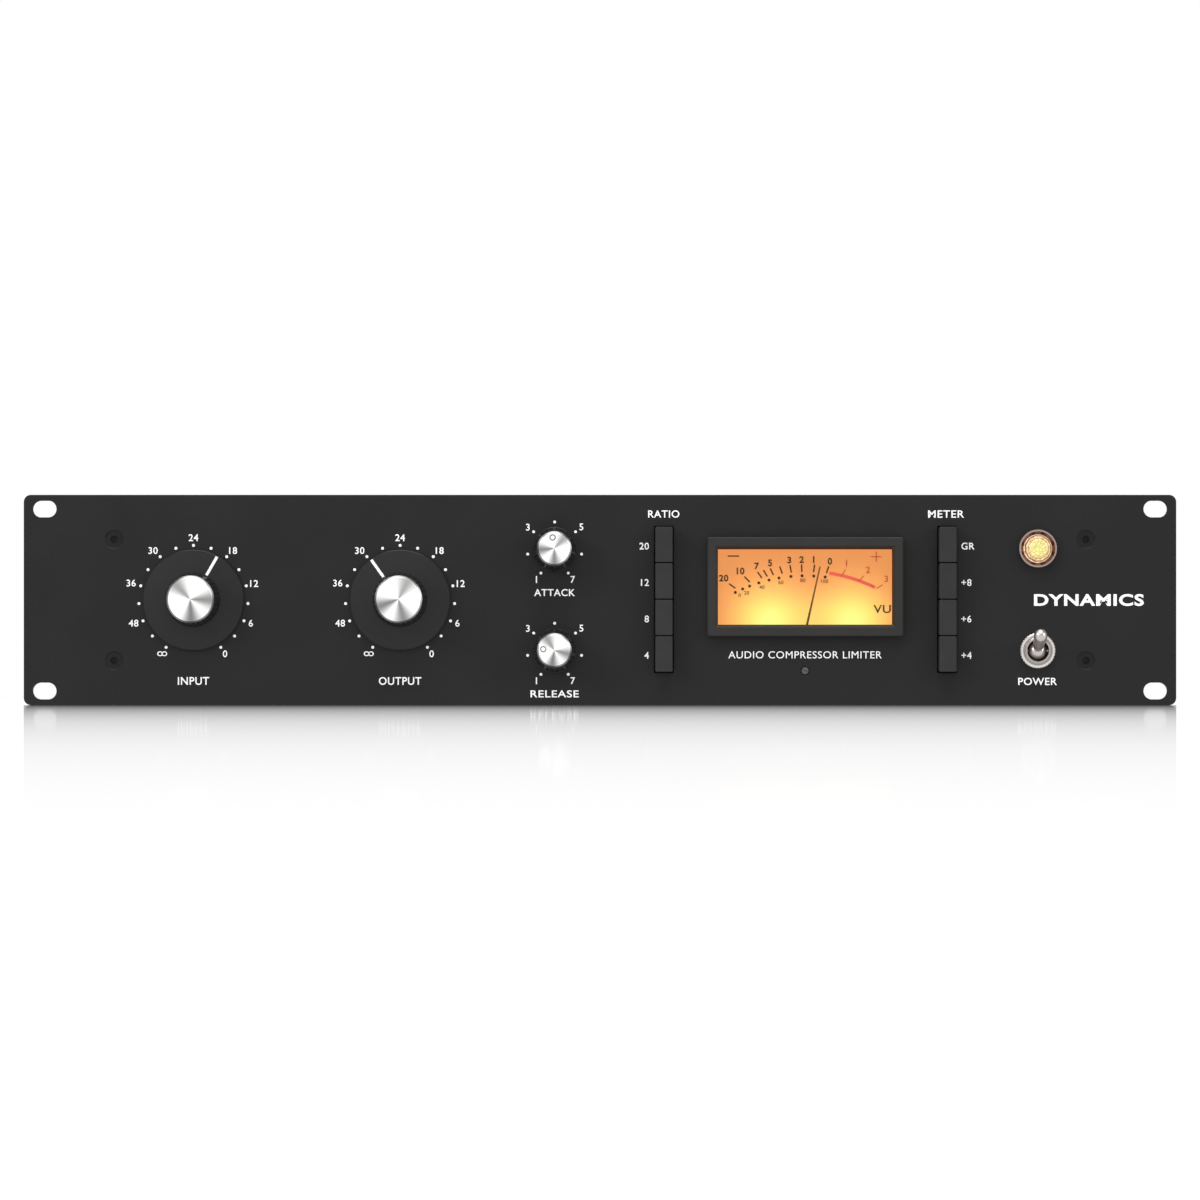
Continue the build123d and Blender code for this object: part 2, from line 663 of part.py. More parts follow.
def switch_bank():
    """Frame behind the wall with a pocket for each stem, on a post at each end."""
    half_w = STEM_W / 2 + SLIDE + BANK_WALL
    reach = KEYWAY_H / 2 + BANK_POST
    frame = block(-half_w, half_w, BANK_FRONT, BANK_BACK, -reach, reach)
    for s in (-1, 1):
        ends = sorted((s * (KEYWAY_H / 2 + KEY_GAP), s * reach))
        frame += block(-half_w, half_w, WALL, BANK_FRONT, *ends)
    pocket = Rectangle(STEM_W + 2 * SLIDE, STEM_H + 2 * SLIDE)
    deep = BANK_BACK - BANK_FLOOR
    keys = len(RATIO_KEYS)
    middle = (keys - 1) / 2
    return frame - [prism(pocket, BANK_FRONT - OVER, deep, 0, KEY_PITCH * (i - middle)) for i in range(keys)]


# ---------------------------------------------------------------- level meter
def meter_bezel():
    """Frame on the panel, with a sloped inner edge and a neck through the panel and the wall."""
    front = FACE - BEZEL_PROUD
    outline = RectangleRounded(VIEW_W + 2 * BEZEL_SIDE, VIEW_H + 2 * BEZEL_TOP, BEZEL_CORNER_R)
    frame = prism(outline, front, FACE)
    frame = chamfer(frame.faces().sort_by(Axis.Y)[0].edges(), BEZEL_EDGE)
    frame += prism(Rectangle(NECK_W, NECK_H), FACE, WALL)
    rebate = Rectangle(WINDOW_W + 2 * SEAT, WINDOW_H + 2 * SEAT)
    frame -= prism(rebate, front + BEZEL_LIP_T, WALL + OVER)
    frame -= prism(Rectangle(VIEW_W, VIEW_H), front - OVER, WALL)
    inner_edges = frame.faces().sort_by(Axis.Y)[0].inner_wires()[0].edges()
    return Pos(METER_X, 0, METER_Z) * chamfer(inner_edges, BEZEL_SLOPE)


def meter_window():
    """Clear pane in the bezel's rebate."""
    return prism(Rectangle(WINDOW_W, WINDOW_H), WINDOW_BACK - WINDOW_T, WINDOW_BACK, METER_X, METER_Z)


def meter_case():
    """Box behind the wall, open to the front, with ledges for the scale and a zero-screw bridge."""
    half = METER_CASE_W / 2
    inner = half - METER_CASE_WALL
    back = METER_CASE_BACK + METER_CASE_WALL
    box = block(-half, half, WALL, back, METER_CASE_BOTTOM, METER_CASE_TOP)
    floor_z = METER_CASE_BOTTOM + METER_CASE_WALL
    top_z = METER_CASE_TOP - METER_CASE_WALL
    box -= block(-inner, inner, WALL - OVER, METER_CASE_BACK, floor_z, top_z)
    for s in (-1, 1):
        edges = sorted((s * inner, s * (inner - SCALE_LEDGE)))
        box += block(*edges, SCALE_Y + SCALE_T, SCALE_Y + SCALE_T + SCALE_LEDGE, floor_z, top_z)
    box += block(-inner, inner, WALL, WALL + ZERO_BRIDGE, floor_z, floor_z + ZERO_BRIDGE_H)
    box -= rod(ZERO_R + FIT, WALL - OVER, WALL + ZERO_BRIDGE + OVER, 0, ZERO_Z)
    return Pos(METER_X, 0, 0) * box


def meter_scale():
    """Translucent scale plate, with a hole for the needle's staff."""
    half = METER_CASE_W / 2 - METER_CASE_WALL - SEAT
    low = METER_CASE_BOTTOM + METER_CASE_WALL + ZERO_BRIDGE_H
    high = METER_CASE_TOP - METER_CASE_WALL - SEAT
    plate = block(-half, half, SCALE_Y, SCALE_Y + SCALE_T, low, high)
    hole = rod(HUB_R + HUB_GAP, SCALE_Y - OVER, SCALE_Y + SCALE_T + OVER, 0, PIVOT_Z)
    return Pos(METER_X, 0, 0) * (plate - hole)


def meter_needle():
    """Pointer with its tail weight, hub and staff, built upright about its pivot."""
    tip, root, tail = NEEDLE_TIP_W / 2, NEEDLE_ROOT_W / 2, NEEDLE_ROOT_W
    outline = Polygon(
        (-tail, -NEEDLE_TAIL), (tail, -NEEDLE_TAIL), (root, 0), (tip, NEEDLE_L), (-tip, NEEDLE_L), (-root, 0),
        align=None,
    )
    pointer = prism(outline, NEEDLE_Y, NEEDLE_Y + NEEDLE_T)
    hub = rod(HUB_R, NEEDLE_Y - HUB_FRONT, NEEDLE_Y + NEEDLE_T + HUB_BACK)
    staff = rod(STAFF_R, NEEDLE_Y - STAFF_FRONT, SCALE_Y + SCALE_T + MOVEMENT_GAP + MOVEMENT_R)
    return at(METER_X, PIVOT_Z, NEEDLE_TURN) * (pointer + hub + staff)


def meter_movement():
    """Round moving-coil movement on the case's back, with the staff's bearing."""
    front = SCALE_Y + SCALE_T + MOVEMENT_GAP
    body = rod(MOVEMENT_R, front, METER_CASE_BACK)
    bore = rod(STAFF_R + FIT, front - OVER, front + MOVEMENT_R + OVER)
    return at(METER_X, PIVOT_Z) * (body - bore)


def meter_lamps():
    """Two bulbs in sockets behind the scale."""
    front = SCALE_Y + SCALE_T + MOVEMENT_GAP
    seat = METER_CASE_BACK - 2 * LAMP_R
    bulb = rod(LAMP_R, front + LAMP_R, seat) + Pos(0, front + LAMP_R, 0) * Sphere(LAMP_R)
    socket = rod(LAMP_SOCKET_R, seat, METER_CASE_BACK)
    places = [at(METER_X + x, METER_Z - LAMP_DROP) for x in LAMP_SPREAD]
    return [place * piece for place in places for piece in (bulb, socket)]


def zero_screw():
    """Slotted screw that turns in the case's bridge, with an eccentric pin inside."""
    front = FACE - ZERO_PROUD
    collar = WALL + ZERO_BRIDGE + THROUGH
    pin_y = collar + ZERO_COLLAR_T
    body = rod(ZERO_R, front, collar) + rod(ZERO_COLLAR_R, collar, pin_y)
    body += rod(ZERO_PIN_R, pin_y, pin_y + ZERO_PIN_L, 0, ZERO_R / 2)
    slot = block(-2 * ZERO_R, 2 * ZERO_R, front - OVER, front + ZERO_SLOT, -ZERO_SLOT / 2, ZERO_SLOT / 2)
    return at(METER_X, ZERO_Z, ZERO_TURN) * (body - slot)


# ---------------------------------------------------------------- pilot lamp
def pilot_bezel():
    """Plated ring with a dished inside and a threaded barrel."""
    crest = FACE - PILOT_PROUD
    band = PILOT_RING_R - PILOT_RING_BAND
    seat_y = FACE + JEWEL_SEAT
    bore = JEWEL_R + SEAT
    back = FACE + PILOT_BARREL_L
    dish_y = FACE - PILOT_DISH_DEEP
    ledge = bore - PILOT_SEAT
    ring = turned(
        (PILOT_RING_R, FACE), (PILOT_RING_R, crest + PILOT_EDGE_H), (PILOT_RING_R - PILOT_EDGE_W, crest),
        (band, crest), (bore + PILOT_DISH, dish_y), (bore, dish_y), (bore, seat_y), (ledge, seat_y),
        (ledge, back), (PILOT_BARREL_R, back), (PILOT_BARREL_R, FACE),
    )
    return at(PILOT_X, PILOT_Z) * ring


def pilot_jewel():
    """Faceted lens: a round seat under rings of facets."""
    seat_y = FACE + JEWEL_SEAT
    points = []
    for share, shift, height in [(1.0, 0.0, 0.0), *JEWEL_RINGS]:
        for i in range(JEWEL_SIDES):
            angle = radians(360 * (i + shift) / JEWEL_SIDES)
            reach = share * JEWEL_R
            points.append((reach * cos(angle), FACE - height * JEWEL_H, reach * sin(angle)))
    return at(PILOT_X, PILOT_Z) * (rod(JEWEL_R, FACE, seat_y) + ConvexPolyhedron(points))


def pilot_holder():
    """Nut on the barrel, bulb inside it and the socket behind."""
    back = FACE + PILOT_BARREL_L
    ring = Circle(PILOT_BARREL_R + SEAT)
    nut = prism(hexagon(2 * (PILOT_BARREL_R + NUT_WALL)) - ring, WALL, WALL + NUT_T)
    bulb = rod(BULB_R, WALL + BULB_R, back) + Pos(0, WALL + BULB_R, 0) * Sphere(BULB_R)
    socket = rod(PILOT_BARREL_R, back, back + PILOT_BARREL_L)
    return [at(PILOT_X, PILOT_Z) * piece for piece in (nut, bulb, socket)]


# ---------------------------------------------------------------- mains toggle
def toggle_body():
    """Switch body with its threaded bush, the lever's cavity and its pivot pin."""
    nose = FACE - TOGGLE_NUT_T - TOGGLE_OUT
    bevel = TOGGLE_BUSH_R - TOGGLE_NOSE_R
    bush = turned(
        (0, nose), (TOGGLE_NOSE_R, nose), (TOGGLE_BUSH_R, nose + bevel), (TOGGLE_BUSH_R, WALL), (0, WALL)
    )
    body = block(-TOGGLE_W / 2, TOGGLE_W / 2, WALL, WALL + TOGGLE_D, -TOGGLE_H / 2, TOGGLE_H / 2)
    body += bush
    ball_r = LEVER_BALL_R + BALL_GAP
    lip = nose + TOGGLE_LIP
    start = nose - OVER
    pivot = TOGGLE_PIVOT_Y
    throat = turned((0, start), (TOGGLE_MOUTH_R, start), (TOGGLE_MOUTH_R, lip), (ball_r, pivot), (0, pivot))
    swing = LEVER_TAIL * sin(radians(TOGGLE_TILT)) + LEVER_TAIL_R + 2 * BALL_GAP
    well_w = LEVER_TAIL_R + 2 * BALL_GAP
    well = block(-well_w, well_w, pivot, pivot + LEVER_TAIL + LEVER_TAIL_R, -swing, swing)
    body = body - throat - Pos(0, pivot, 0) * Sphere(ball_r) - well
    pin_end = TOGGLE_BUSH_R - LEVER_PIN_IN
    pin = Pos(0, pivot, 0) * Rot(0, 90, 0) * Cylinder(LEVER_PIN_R, 2 * pin_end)
    return at(TOGGLE_X, TOGGLE_Z) * (body + pin)


def toggle_lever():
    """Bat lever with its ball and tail, swung up to its rest position."""
    ball_tail = sqrt(LEVER_BALL_R ** 2 - LEVER_TAIL_R ** 2)
    ball_neck = -sqrt(LEVER_BALL_R ** 2 - LEVER_NECK_R ** 2)
    end = -LEVER_L - LEVER_TIP_R
    slant = LEVER_TIP_R * sin(radians(45))
    tail = Polyline((0, LEVER_TAIL), (LEVER_TAIL_R, LEVER_TAIL), (LEVER_TAIL_R, ball_tail))
    ball = ThreePointArc((LEVER_TAIL_R, ball_tail), (LEVER_BALL_R, 0), (LEVER_NECK_R, ball_neck))
    stem = Polyline((LEVER_NECK_R, ball_neck), (LEVER_WAIST_R, -LEVER_L / 2), (LEVER_TIP_R, -LEVER_L))
    tip = ThreePointArc((LEVER_TIP_R, -LEVER_L), (slant, -LEVER_L - slant), (0, end))
    axis = Line((0, end), (0, LEVER_TAIL))
    bat = revolve(make_face(Curve() + [tail, ball, stem, tip, axis]), Axis.Y)
    bat -= Rot(0, 90, 0) * Cylinder(LEVER_PIN_R + FIT, 4 * LEVER_BALL_R)
    return at(TOGGLE_X, TOGGLE_Z) * Pos(0, TOGGLE_PIVOT_Y, 0) * Rot(-TOGGLE_TILT, 0, 0) * bat


def toggle_nut():
    """Round dress nut with a knurled rim."""
    front = FACE - TOGGLE_NUT_T
    nut = turned(
        (TOGGLE_BUSH_R + SEAT, front), (TOGGLE_NUT_R - TOGGLE_EDGE, front),
        (TOGGLE_NUT_R, front + TOGGLE_EDGE), (TOGGLE_NUT_R, FACE), (TOGGLE_BUSH_R + SEAT, FACE),
    )
    groove = rod(TOGGLE_KNURL_R, front - OVER, FACE + OVER, 0, TOGGLE_NUT_R + TOGGLE_KNURL_R / 3)
    nut -= [Rot(0, 360 * i / TOGGLE_KNURLS, 0) * groove for i in range(TOGGLE_KNURLS)]
    return at(TOGGLE_X, TOGGLE_Z) * nut


# ---------------------------------------------------------------- rear connectors
def mains_inlet():
    """Mains inlet: flange, body, socket with two cut corners, pocket for the fuse drawer."""
    outside = CASE_D + INLET_FLANGE_T
    body = prism(RectangleRounded(INLET_FLANGE_W, INLET_FLANGE_H, INLET_CORNER_R), CASE_D, outside)
    body += prism(Rectangle(INLET_BODY_W, INLET_BODY_H), CASE_D - INLET_BODY_D, CASE_D)
    floor_y = outside - SOCKET_D
    socket = prism(Rectangle(SOCKET_W, SOCKET_H), floor_y, outside + OVER, 0, SOCKET_Z - INLET_Z)
    corners = socket.edges().filter_by(Axis.Y).group_by(Axis.Z)[0]
    socket = chamfer(corners, SOCKET_H / 4)
    pocket = Rectangle(DRAWER_W + 2 * SLIDE, DRAWER_H + 2 * SLIDE)
    drawer_z = DRAWER_Z - INLET_Z
    cuts = [socket, prism(pocket, outside - DRAWER_D - STOP_GAP, outside + OVER, 0, drawer_z)]
    cuts += [rod(CASE_SCREW_R + THROUGH, CASE_D - OVER, outside + OVER, s * INLET_SCREW_X) for s in (-1, 1)]
    seat = Rectangle(BLADE_T + 2 * SEAT, BLADE_H + 2 * SEAT)
    cuts += [prism(seat, floor_y - BLADE_SEAT, floor_y + OVER, x, z) for x, z in blade_places()]
    return Pos(INLET_X, 0, INLET_Z) * (body - cuts)


def blade_places():
    """Blades, from the inlet's own centre: two below and the earth blade above."""
    low = SOCKET_Z - INLET_Z - BLADE_STEP / 2
    return [(-BLADE_X, low), (BLADE_X, low), (0, low + BLADE_STEP)]


def connector_pins():
    """Blades of the mains inlet and pins of the output connector, each in its seat."""
    floor_y = CASE_D + INLET_FLANGE_T - SOCKET_D
    blade = prism(Rectangle(BLADE_T, BLADE_H), floor_y - BLADE_SEAT, floor_y + BLADE_L)
    blade = chamfer(blade.faces().sort_by(Axis.Y)[-1].edges(), BLADE_T / 4)
    pieces = [Pos(INLET_X + x, 0, INLET_Z + z) * blade for x, z in blade_places()]
    base = CASE_D + XLR_FLANGE_T - XLR_BORE_D
    tip = base + XLR_BORE_D - XLR_PIN_TIP_IN
    pin = rod(XLR_PIN_R, base - XLR_PIN_SEAT, tip) + Pos(0, tip, 0) * Sphere(XLR_PIN_R)
    pieces += [Pos(XLR_OUT_X + x, 0, XLR_Z + z) * pin for x, z in xlr_pin_places()]
    return pieces


def fuse_drawer():
    """Drawer with a finger lip and a trough for the fuse."""
    outside = CASE_D + INLET_FLANGE_T
    body = prism(Rectangle(DRAWER_W, DRAWER_H), outside - DRAWER_D, outside)
    lip = Rectangle(DRAWER_W + 2 * DRAWER_LIP, DRAWER_H + 2 * DRAWER_LIP)
    body += prism(lip, outside + SLIDE, outside + SLIDE + DRAWER_LIP_T)
    neck = Rectangle(DRAWER_W - 2 * DRAWER_NECK, DRAWER_H - 2 * DRAWER_NECK)
    body += prism(neck, outside - DRAWER_NECK_IN, outside + DRAWER_LIP_T)
    trough = Rot(0, 90, 0) * Cylinder(FUSE_R, DRAWER_W - 2 * TROUGH_WALL)
    return Pos(INLET_X, 0, DRAWER_Z) * (body - Pos(0, outside - DRAWER_D / 2, DRAWER_H / 2) * trough)


def xlr_pin_places():
    """Pins of a three-pole connector, from its own centre."""
    return [(XLR_PIN_RING * cos(radians(a)), XLR_PIN_RING * sin(radians(a))) for a in XLR_PINS]


def xlr_shell():
    """Flange and round shell that both three-pole connectors share."""
    outside = CASE_D + XLR_FLANGE_T
    shell = prism(RectangleRounded(XLR_W, XLR_H, XLR_CORNER_R), CASE_D, outside)
    shell += rod(XLR_SHELL_R, CASE_D - XLR_D, CASE_D)
    hole_r = CASE_SCREW_R + THROUGH
    cuts = [rod(hole_r, CASE_D - OVER, outside + OVER, x, z - XLR_Z) for x, z in xlr_screw_places(0)]
    return shell - cuts - rod(XLR_BORE_R, outside - XLR_BORE_D, outside + OVER)


def input_xlr():
    """Female connector: its shell, and the insert with three contact holes in the bore."""
    outside = CASE_D + XLR_FLANGE_T
    floor_y = outside - XLR_BORE_D
    deep = outside - LATCH_TRAVEL - LATCH_OUT - STOP_GAP
    slot = Rectangle(LATCH_W + 2 * SLIDE, LATCH_H + 2 * SLIDE)
    shell = xlr_shell() - prism(slot, deep, outside + OVER, 0, LATCH_Z)
    insert = rod(XLR_CORE_R, floor_y, outside - XLR_CORE_IN)
    insert -= [rod(XLR_PIN_R + THROUGH, floor_y + OVER, outside, x, z) for x, z in xlr_pin_places()]
    return [Pos(XLR_IN_X, 0, XLR_Z) * piece for piece in (shell, insert)]


def xlr_latch():
    """Release tab above the female connector."""
    outside = CASE_D + XLR_FLANGE_T
    tab = prism(RectangleRounded(LATCH_W, LATCH_H, LATCH_ROUND), outside - LATCH_OUT, outside + LATCH_OUT)
    return Pos(XLR_IN_X, 0, XLR_Z + LATCH_Z) * tab


def output_xlr():
    """Male connector: an open bore round three pins."""
    floor_y = CASE_D + XLR_FLANGE_T - XLR_BORE_D
    seat_r = XLR_PIN_R + SEAT
    seats = [rod(seat_r, floor_y - XLR_PIN_SEAT, floor_y + OVER, x, z) for x, z in xlr_pin_places()]
    return Pos(XLR_OUT_X, 0, XLR_Z) * (xlr_shell() - seats)


def line_jacks():
    """Two jack sockets, each a body with a threaded bush through the rear panel."""
    tip = CASE_D + NUT_T + JACK_OUT
    half = JACK_BODY / 2
    jack = block(-half, half, REAR - JACK_D, REAR, -half, half) + rod(JACK_BUSH_R, REAR, tip)
    jack -= rod(JACK_BORE_R, tip - JACK_D, tip + OVER)
    return [Pos(x, 0, JACK_Z) * jack for x in (JACK_IN_X, JACK_OUT_X)]


def connector_screws():
    """Screws of the connectors' flanges and nuts of the jacks."""
    pieces = [case_screw((x, CASE_D + flange, z), (0, 1, 0)) for x, z, flange in connector_screw_places()]
    ring = hexagon(JACK_NUT_AF) - Circle(JACK_BUSH_R + SEAT)
    pieces += [prism(ring, CASE_D, CASE_D + NUT_T, x, JACK_Z) for x in (JACK_IN_X, JACK_OUT_X)]
    return pieces


# ---------------------------------------------------------------- inside the case
def main_board():
    """Circuit board with a hole over each standoff."""
    board = block(*BOARD_X, BOARD_FRONT, BOARD_REAR, BOARD_Z, BOARD_Z + BOARD_T)
    hole = Cylinder(CASE_SCREW_R + THROUGH, 4 * BOARD_T)
    return board - [Pos(x, y, BOARD_Z) * hole for x, y in board_places()]


def board_standoffs():
    """Hexagonal standoffs, tapped for the board's screws."""
    post = extrude(hexagon(STANDOFF_AF) - Circle(CASE_SCREW_R + SEAT), BOARD_RAISE)
    return [Pos(x, y, FLOOR) * post for x, y in board_places()]


def audio_transformers():
    """Screened transformer cans near the connectors."""
    can = extrude(RectangleRounded(CAN_SIDE, CAN_SIDE, CAN_CORNER), CAN_TALL)
    y = BOARD_REAR - 2 * BOARD_INSET - CAN_SIDE / 2
    x0 = BOARD_X[0] + 2 * BOARD_INSET + CAN_SIDE / 2
    return [Pos(x0 + AUDIO_CAN_PITCH * i, y, BOARD_Z + BOARD_T) * can for i in range(AUDIO_CANS)]


def board_capacitors():
    """Row of electrolytic capacitors along the board's right-hand end."""
    body = extrude(Circle(CAP_BODY_R), CAP_BODY_H)
    x0 = BOARD_X[1] - 3 * BOARD_INSET - CAP_BODY_R
    rows = (BOARD_FRONT + 4 * BOARD_INSET, BOARD_FRONT + 4 * BOARD_INSET + 2 * CAP_PITCH)
    top = BOARD_Z + BOARD_T
    return [Pos(x0 - CAP_PITCH * i, y, top) * body for i in range(CAPS // 2) for y in rows]


def mains_transformer():
    """Ring-shaped transformer with a filled centre."""
    ring = extrude(Circle(TOROID_R), TOROID_H)
    ring = fillet(ring.edges(), TOROID_ROUND)
    ring -= Pos(0, 0, TOROID_H / 2) * extrude(Circle(TOROID_CORE_R), TOROID_H)
    return Pos(TOROID_X, TOROID_Y, FLOOR) * ring


# ---------------------------------------------------------------- every node
def main():
    save("front_panel", front_panel())
    save("panel_screws", *panel_screws())
    save("chassis_tray", chassis_tray())
    save("rear_panel", rear_panel())
    save("top_cover", top_cover())
    save("case_screws", *case_screws())

    nuts = []
    for name, (x, z, turn, k) in DIALS.items():
        place = at(x, z, turn)
        save(f"{name}_knob", place * knob(k))
        save(f"{name}_knob_cap", place * knob_cap(k))
        save(f"{name}_shaft", place * pot_shaft(k))
        save(f"{name}_pot", at(x, z) * pot(k))
        nuts += [at(x, z) * piece for piece in pot_nut(k)]
    save("pot_nuts", *nuts)

    for name, x, z in key_places():
        save(name, at(x, z) * key())
    save("ratio_switch_bank", at(RATIO_X, KEYS_Z) * switch_bank())
    save("meter_switch_bank", at(METER_KEYS_X, KEYS_Z) * switch_bank())

    save("meter_bezel", meter_bezel())
    save("meter_window", meter_window())
    save("meter_case", meter_case())
    save("meter_scale", meter_scale())
    save("meter_needle", meter_needle())
    save("meter_movement", meter_movement())
    save("meter_lamps", *meter_lamps())
    save("meter_zero_screw", zero_screw())

    save("pilot_bezel", pilot_bezel())
    save("pilot_jewel", pilot_jewel())
    save("pilot_holder", *pilot_holder())
    save("toggle_body", toggle_body())
    save("toggle_lever", toggle_lever())
    save("toggle_nut", toggle_nut())

    save("mains_inlet", mains_inlet())
    save("fuse_drawer", fuse_drawer())
    save("input_xlr", *input_xlr())
    save("xlr_latch", xlr_latch())
    save("output_xlr", output_xlr())
    save("connector_pins", *connector_pins())
    save("line_jacks", *line_jacks())
    save("connector_screws", *connector_screws())

    save("main_board", main_board())
    save("board_standoffs", *board_standoffs())
    save("audio_transformers", *audio_transformers())
    save("board_capacitors", *board_capacitors())
    save("mains_transformer", mains_transformer())


main()
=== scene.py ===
# %% [markdown]
# # A rack compressor, finished in Blender
# The sheet metal, knobs, keys and connectors arrive as a fixed set of solids. This lesson gives each
# of them its finish, and adds what the solids don't carry: printed scales and words, pointers, the
# marks on the meter's card and the studio round it. All sizes are in metres, in the same frame as
# the solids: +X right, +Y to the rear, +Z up.

# %% Load the fixed frame
import math
import bpy
from mathutils import Matrix, Vector


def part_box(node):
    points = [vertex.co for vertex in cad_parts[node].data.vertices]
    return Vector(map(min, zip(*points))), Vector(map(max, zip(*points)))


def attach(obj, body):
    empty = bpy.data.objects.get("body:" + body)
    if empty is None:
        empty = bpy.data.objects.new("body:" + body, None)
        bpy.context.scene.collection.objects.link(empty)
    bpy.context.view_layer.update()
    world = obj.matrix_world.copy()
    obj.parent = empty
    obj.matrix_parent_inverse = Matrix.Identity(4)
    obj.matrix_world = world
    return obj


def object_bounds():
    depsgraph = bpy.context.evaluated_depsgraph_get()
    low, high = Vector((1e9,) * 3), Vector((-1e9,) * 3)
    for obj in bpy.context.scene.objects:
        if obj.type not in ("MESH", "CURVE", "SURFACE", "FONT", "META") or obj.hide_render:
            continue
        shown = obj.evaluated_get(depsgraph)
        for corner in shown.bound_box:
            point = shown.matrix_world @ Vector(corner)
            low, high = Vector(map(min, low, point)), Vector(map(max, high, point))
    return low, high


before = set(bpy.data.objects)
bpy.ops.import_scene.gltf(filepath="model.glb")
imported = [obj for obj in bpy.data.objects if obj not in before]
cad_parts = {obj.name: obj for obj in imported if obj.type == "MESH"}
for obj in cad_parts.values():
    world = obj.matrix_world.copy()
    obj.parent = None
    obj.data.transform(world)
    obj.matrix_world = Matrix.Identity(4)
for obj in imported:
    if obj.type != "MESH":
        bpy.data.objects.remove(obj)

CAD_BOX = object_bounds()
MM = 0.001

# %% [markdown]
# Almost everything is placed from the solids' own boxes, so that it moves with them. These helpers
# read a box, and clear the selection, because operators act on all that is selected.

# %% Reading the frame
def clear_selection():
    """Leave nothing selected, in object mode."""
    if bpy.context.object and bpy.context.object.mode != "OBJECT":
        bpy.ops.object.mode_set(mode="OBJECT")
    bpy.ops.object.select_all(action="DESELECT")


def middle(node):
    """Centre of a solid's box."""
    low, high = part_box(node)
    return (Vector(low) + Vector(high)) / 2


def front_of(node):
    """Y of a solid's front."""
    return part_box(node)[0][1]


def half_width(node):
    """Half of a solid's width in X, which is its radius if it is round."""
    low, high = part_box(node)
    return (high[0] - low[0]) / 2


CONTROLS = ("input", "output", "attack", "release")
FACE = front_of("front_panel")
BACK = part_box("rear_panel")[1][1]
FLOOR = CAD_BOX[0][2]
print("panel face at", round(FACE, 4), "floor at", round(FLOOR, 4))

# %% [markdown]
# The materials are made of the same few nodes again and again: a sum, a change of range, a row of
# colours and a colour made darker. Each helper adds one and gives back the output to join on.

# %% Wiring nodes
def new_material(name):
    """Material, its node tree and its shader."""
    made = bpy.data.materials.new(name)
    made.use_nodes = True
    return made, made.node_tree, made.node_tree.nodes["Principled BSDF"]


def maths(tree, operation, *values):
    """Work out one operation on numbers and on other nodes' outputs."""
    step = tree.nodes.new("ShaderNodeMath")
    step.operation = operation
    for socket, value in zip(step.inputs, values):
        if isinstance(value, (int, float)):
            socket.default_value = value
        else:
            tree.links.new(value, socket)
    return step.outputs["Value"]


def ranged(tree, value, target, source=(0.0, 1.0)):
    """Move a value from one range to another."""
    step = tree.nodes.new("ShaderNodeMapRange")
    step.inputs["From Min"].default_value = source[0]
    step.inputs["From Max"].default_value = source[1]
    step.inputs["To Min"].default_value = target[0]
    step.inputs["To Max"].default_value = target[1]
    tree.links.new(value, step.inputs["Value"])
    return step.outputs["Result"]


def colours_along(tree, value, stops, blend="LINEAR"):
    """Colours at given places along a value from 0 to 1."""
    row = tree.nodes.new("ShaderNodeValToRGB")
    row.color_ramp.interpolation = blend
    for end, (place, colour) in zip(row.color_ramp.elements, (stops[0], stops[-1])):
        end.position = place
        end.color = (*colour, 1)
    for place, colour in stops[1:-1]:
        row.color_ramp.elements.new(place).color = (*colour, 1)
    tree.links.new(value, row.inputs["Fac"])
    return row.outputs["Color"]


def darker(tree, colour, share):
    """Colour multiplied by a number or by another node's output."""
    step = tree.nodes.new("ShaderNodeVectorMath")
    step.operation = "SCALE"
    tree.links.new(colour, step.inputs[0])
    if isinstance(share, float):
        step.inputs["Scale"].default_value = share
    else:
        tree.links.new(share, step.inputs["Scale"])
    return step.outputs["Vector"]


print("four kinds of node ready")

# %% [markdown]
# ## Camera
# A catalogue view: square on to the panel, from over two metres away with a long lens, so the knobs
# hardly hide what is beside them. The camera stands almost on the floor, and a small upward shift
# brings the panel back to the middle without tilting its edges.

# %% Camera
VIEW_DISTANCE = 2.25
VIEW_WIDTH = 0.5024
SENSOR = 36.0
CAMERA_LIFT = 0.0055
CLIP_START, CLIP_END = 0.005, 50

bpy.ops.object.camera_add(
    location=(0.0, FACE - VIEW_DISTANCE, FLOOR + CAMERA_LIFT), rotation=(math.pi / 2, 0, 0)
)
camera = bpy.context.object
camera.data.sensor_width = SENSOR
camera.data.lens = SENSOR * VIEW_DISTANCE / VIEW_WIDTH
camera.data.shift_y = -(FLOOR + CAMERA_LIFT) / VIEW_WIDTH
camera.data.clip_start = CLIP_START
camera.data.clip_end = CLIP_END
bpy.context.scene.camera = camera
print("lens", round(camera.data.lens, 1), "mm, shift", round(camera.data.shift_y, 3))

# %% [markdown]
# ## Studio
# A pale floor, a pale surround and large soft lamps. Black paint and spun metal show only what they
# mirror, so the lamps are wide, and the surround is dimmer as a light than where it is seen. The
# floor gives off its own even light. In front of the panel it has a lacquered strip, as wide as the
# panel and narrowing to the camera, which thins out with distance. It mirrors at a glancing angle
# only, so the foot of the panel is mirrored in the main view and the floor is plain in the others.

# %% Surround and lamps
SURROUND_SEEN = 1.0
SURROUND_LIGHT = 0.5
LAMPS = [
    ("top_lamp", (0.0, -0.6, 1.7), 1.5, 30.0),
    ("left_lamp", (-1.7, -1.3, 0.9), 1.0, 22.0),
    ("right_lamp", (1.8, -1.0, 0.6), 0.8, 12.0),
    ("front_lamp", (-0.2, -2.7, 0.5), 1.3, 4.2),
    ("back_lamp", (0.3, 1.6, 1.3), 1.2, 20.0),
]


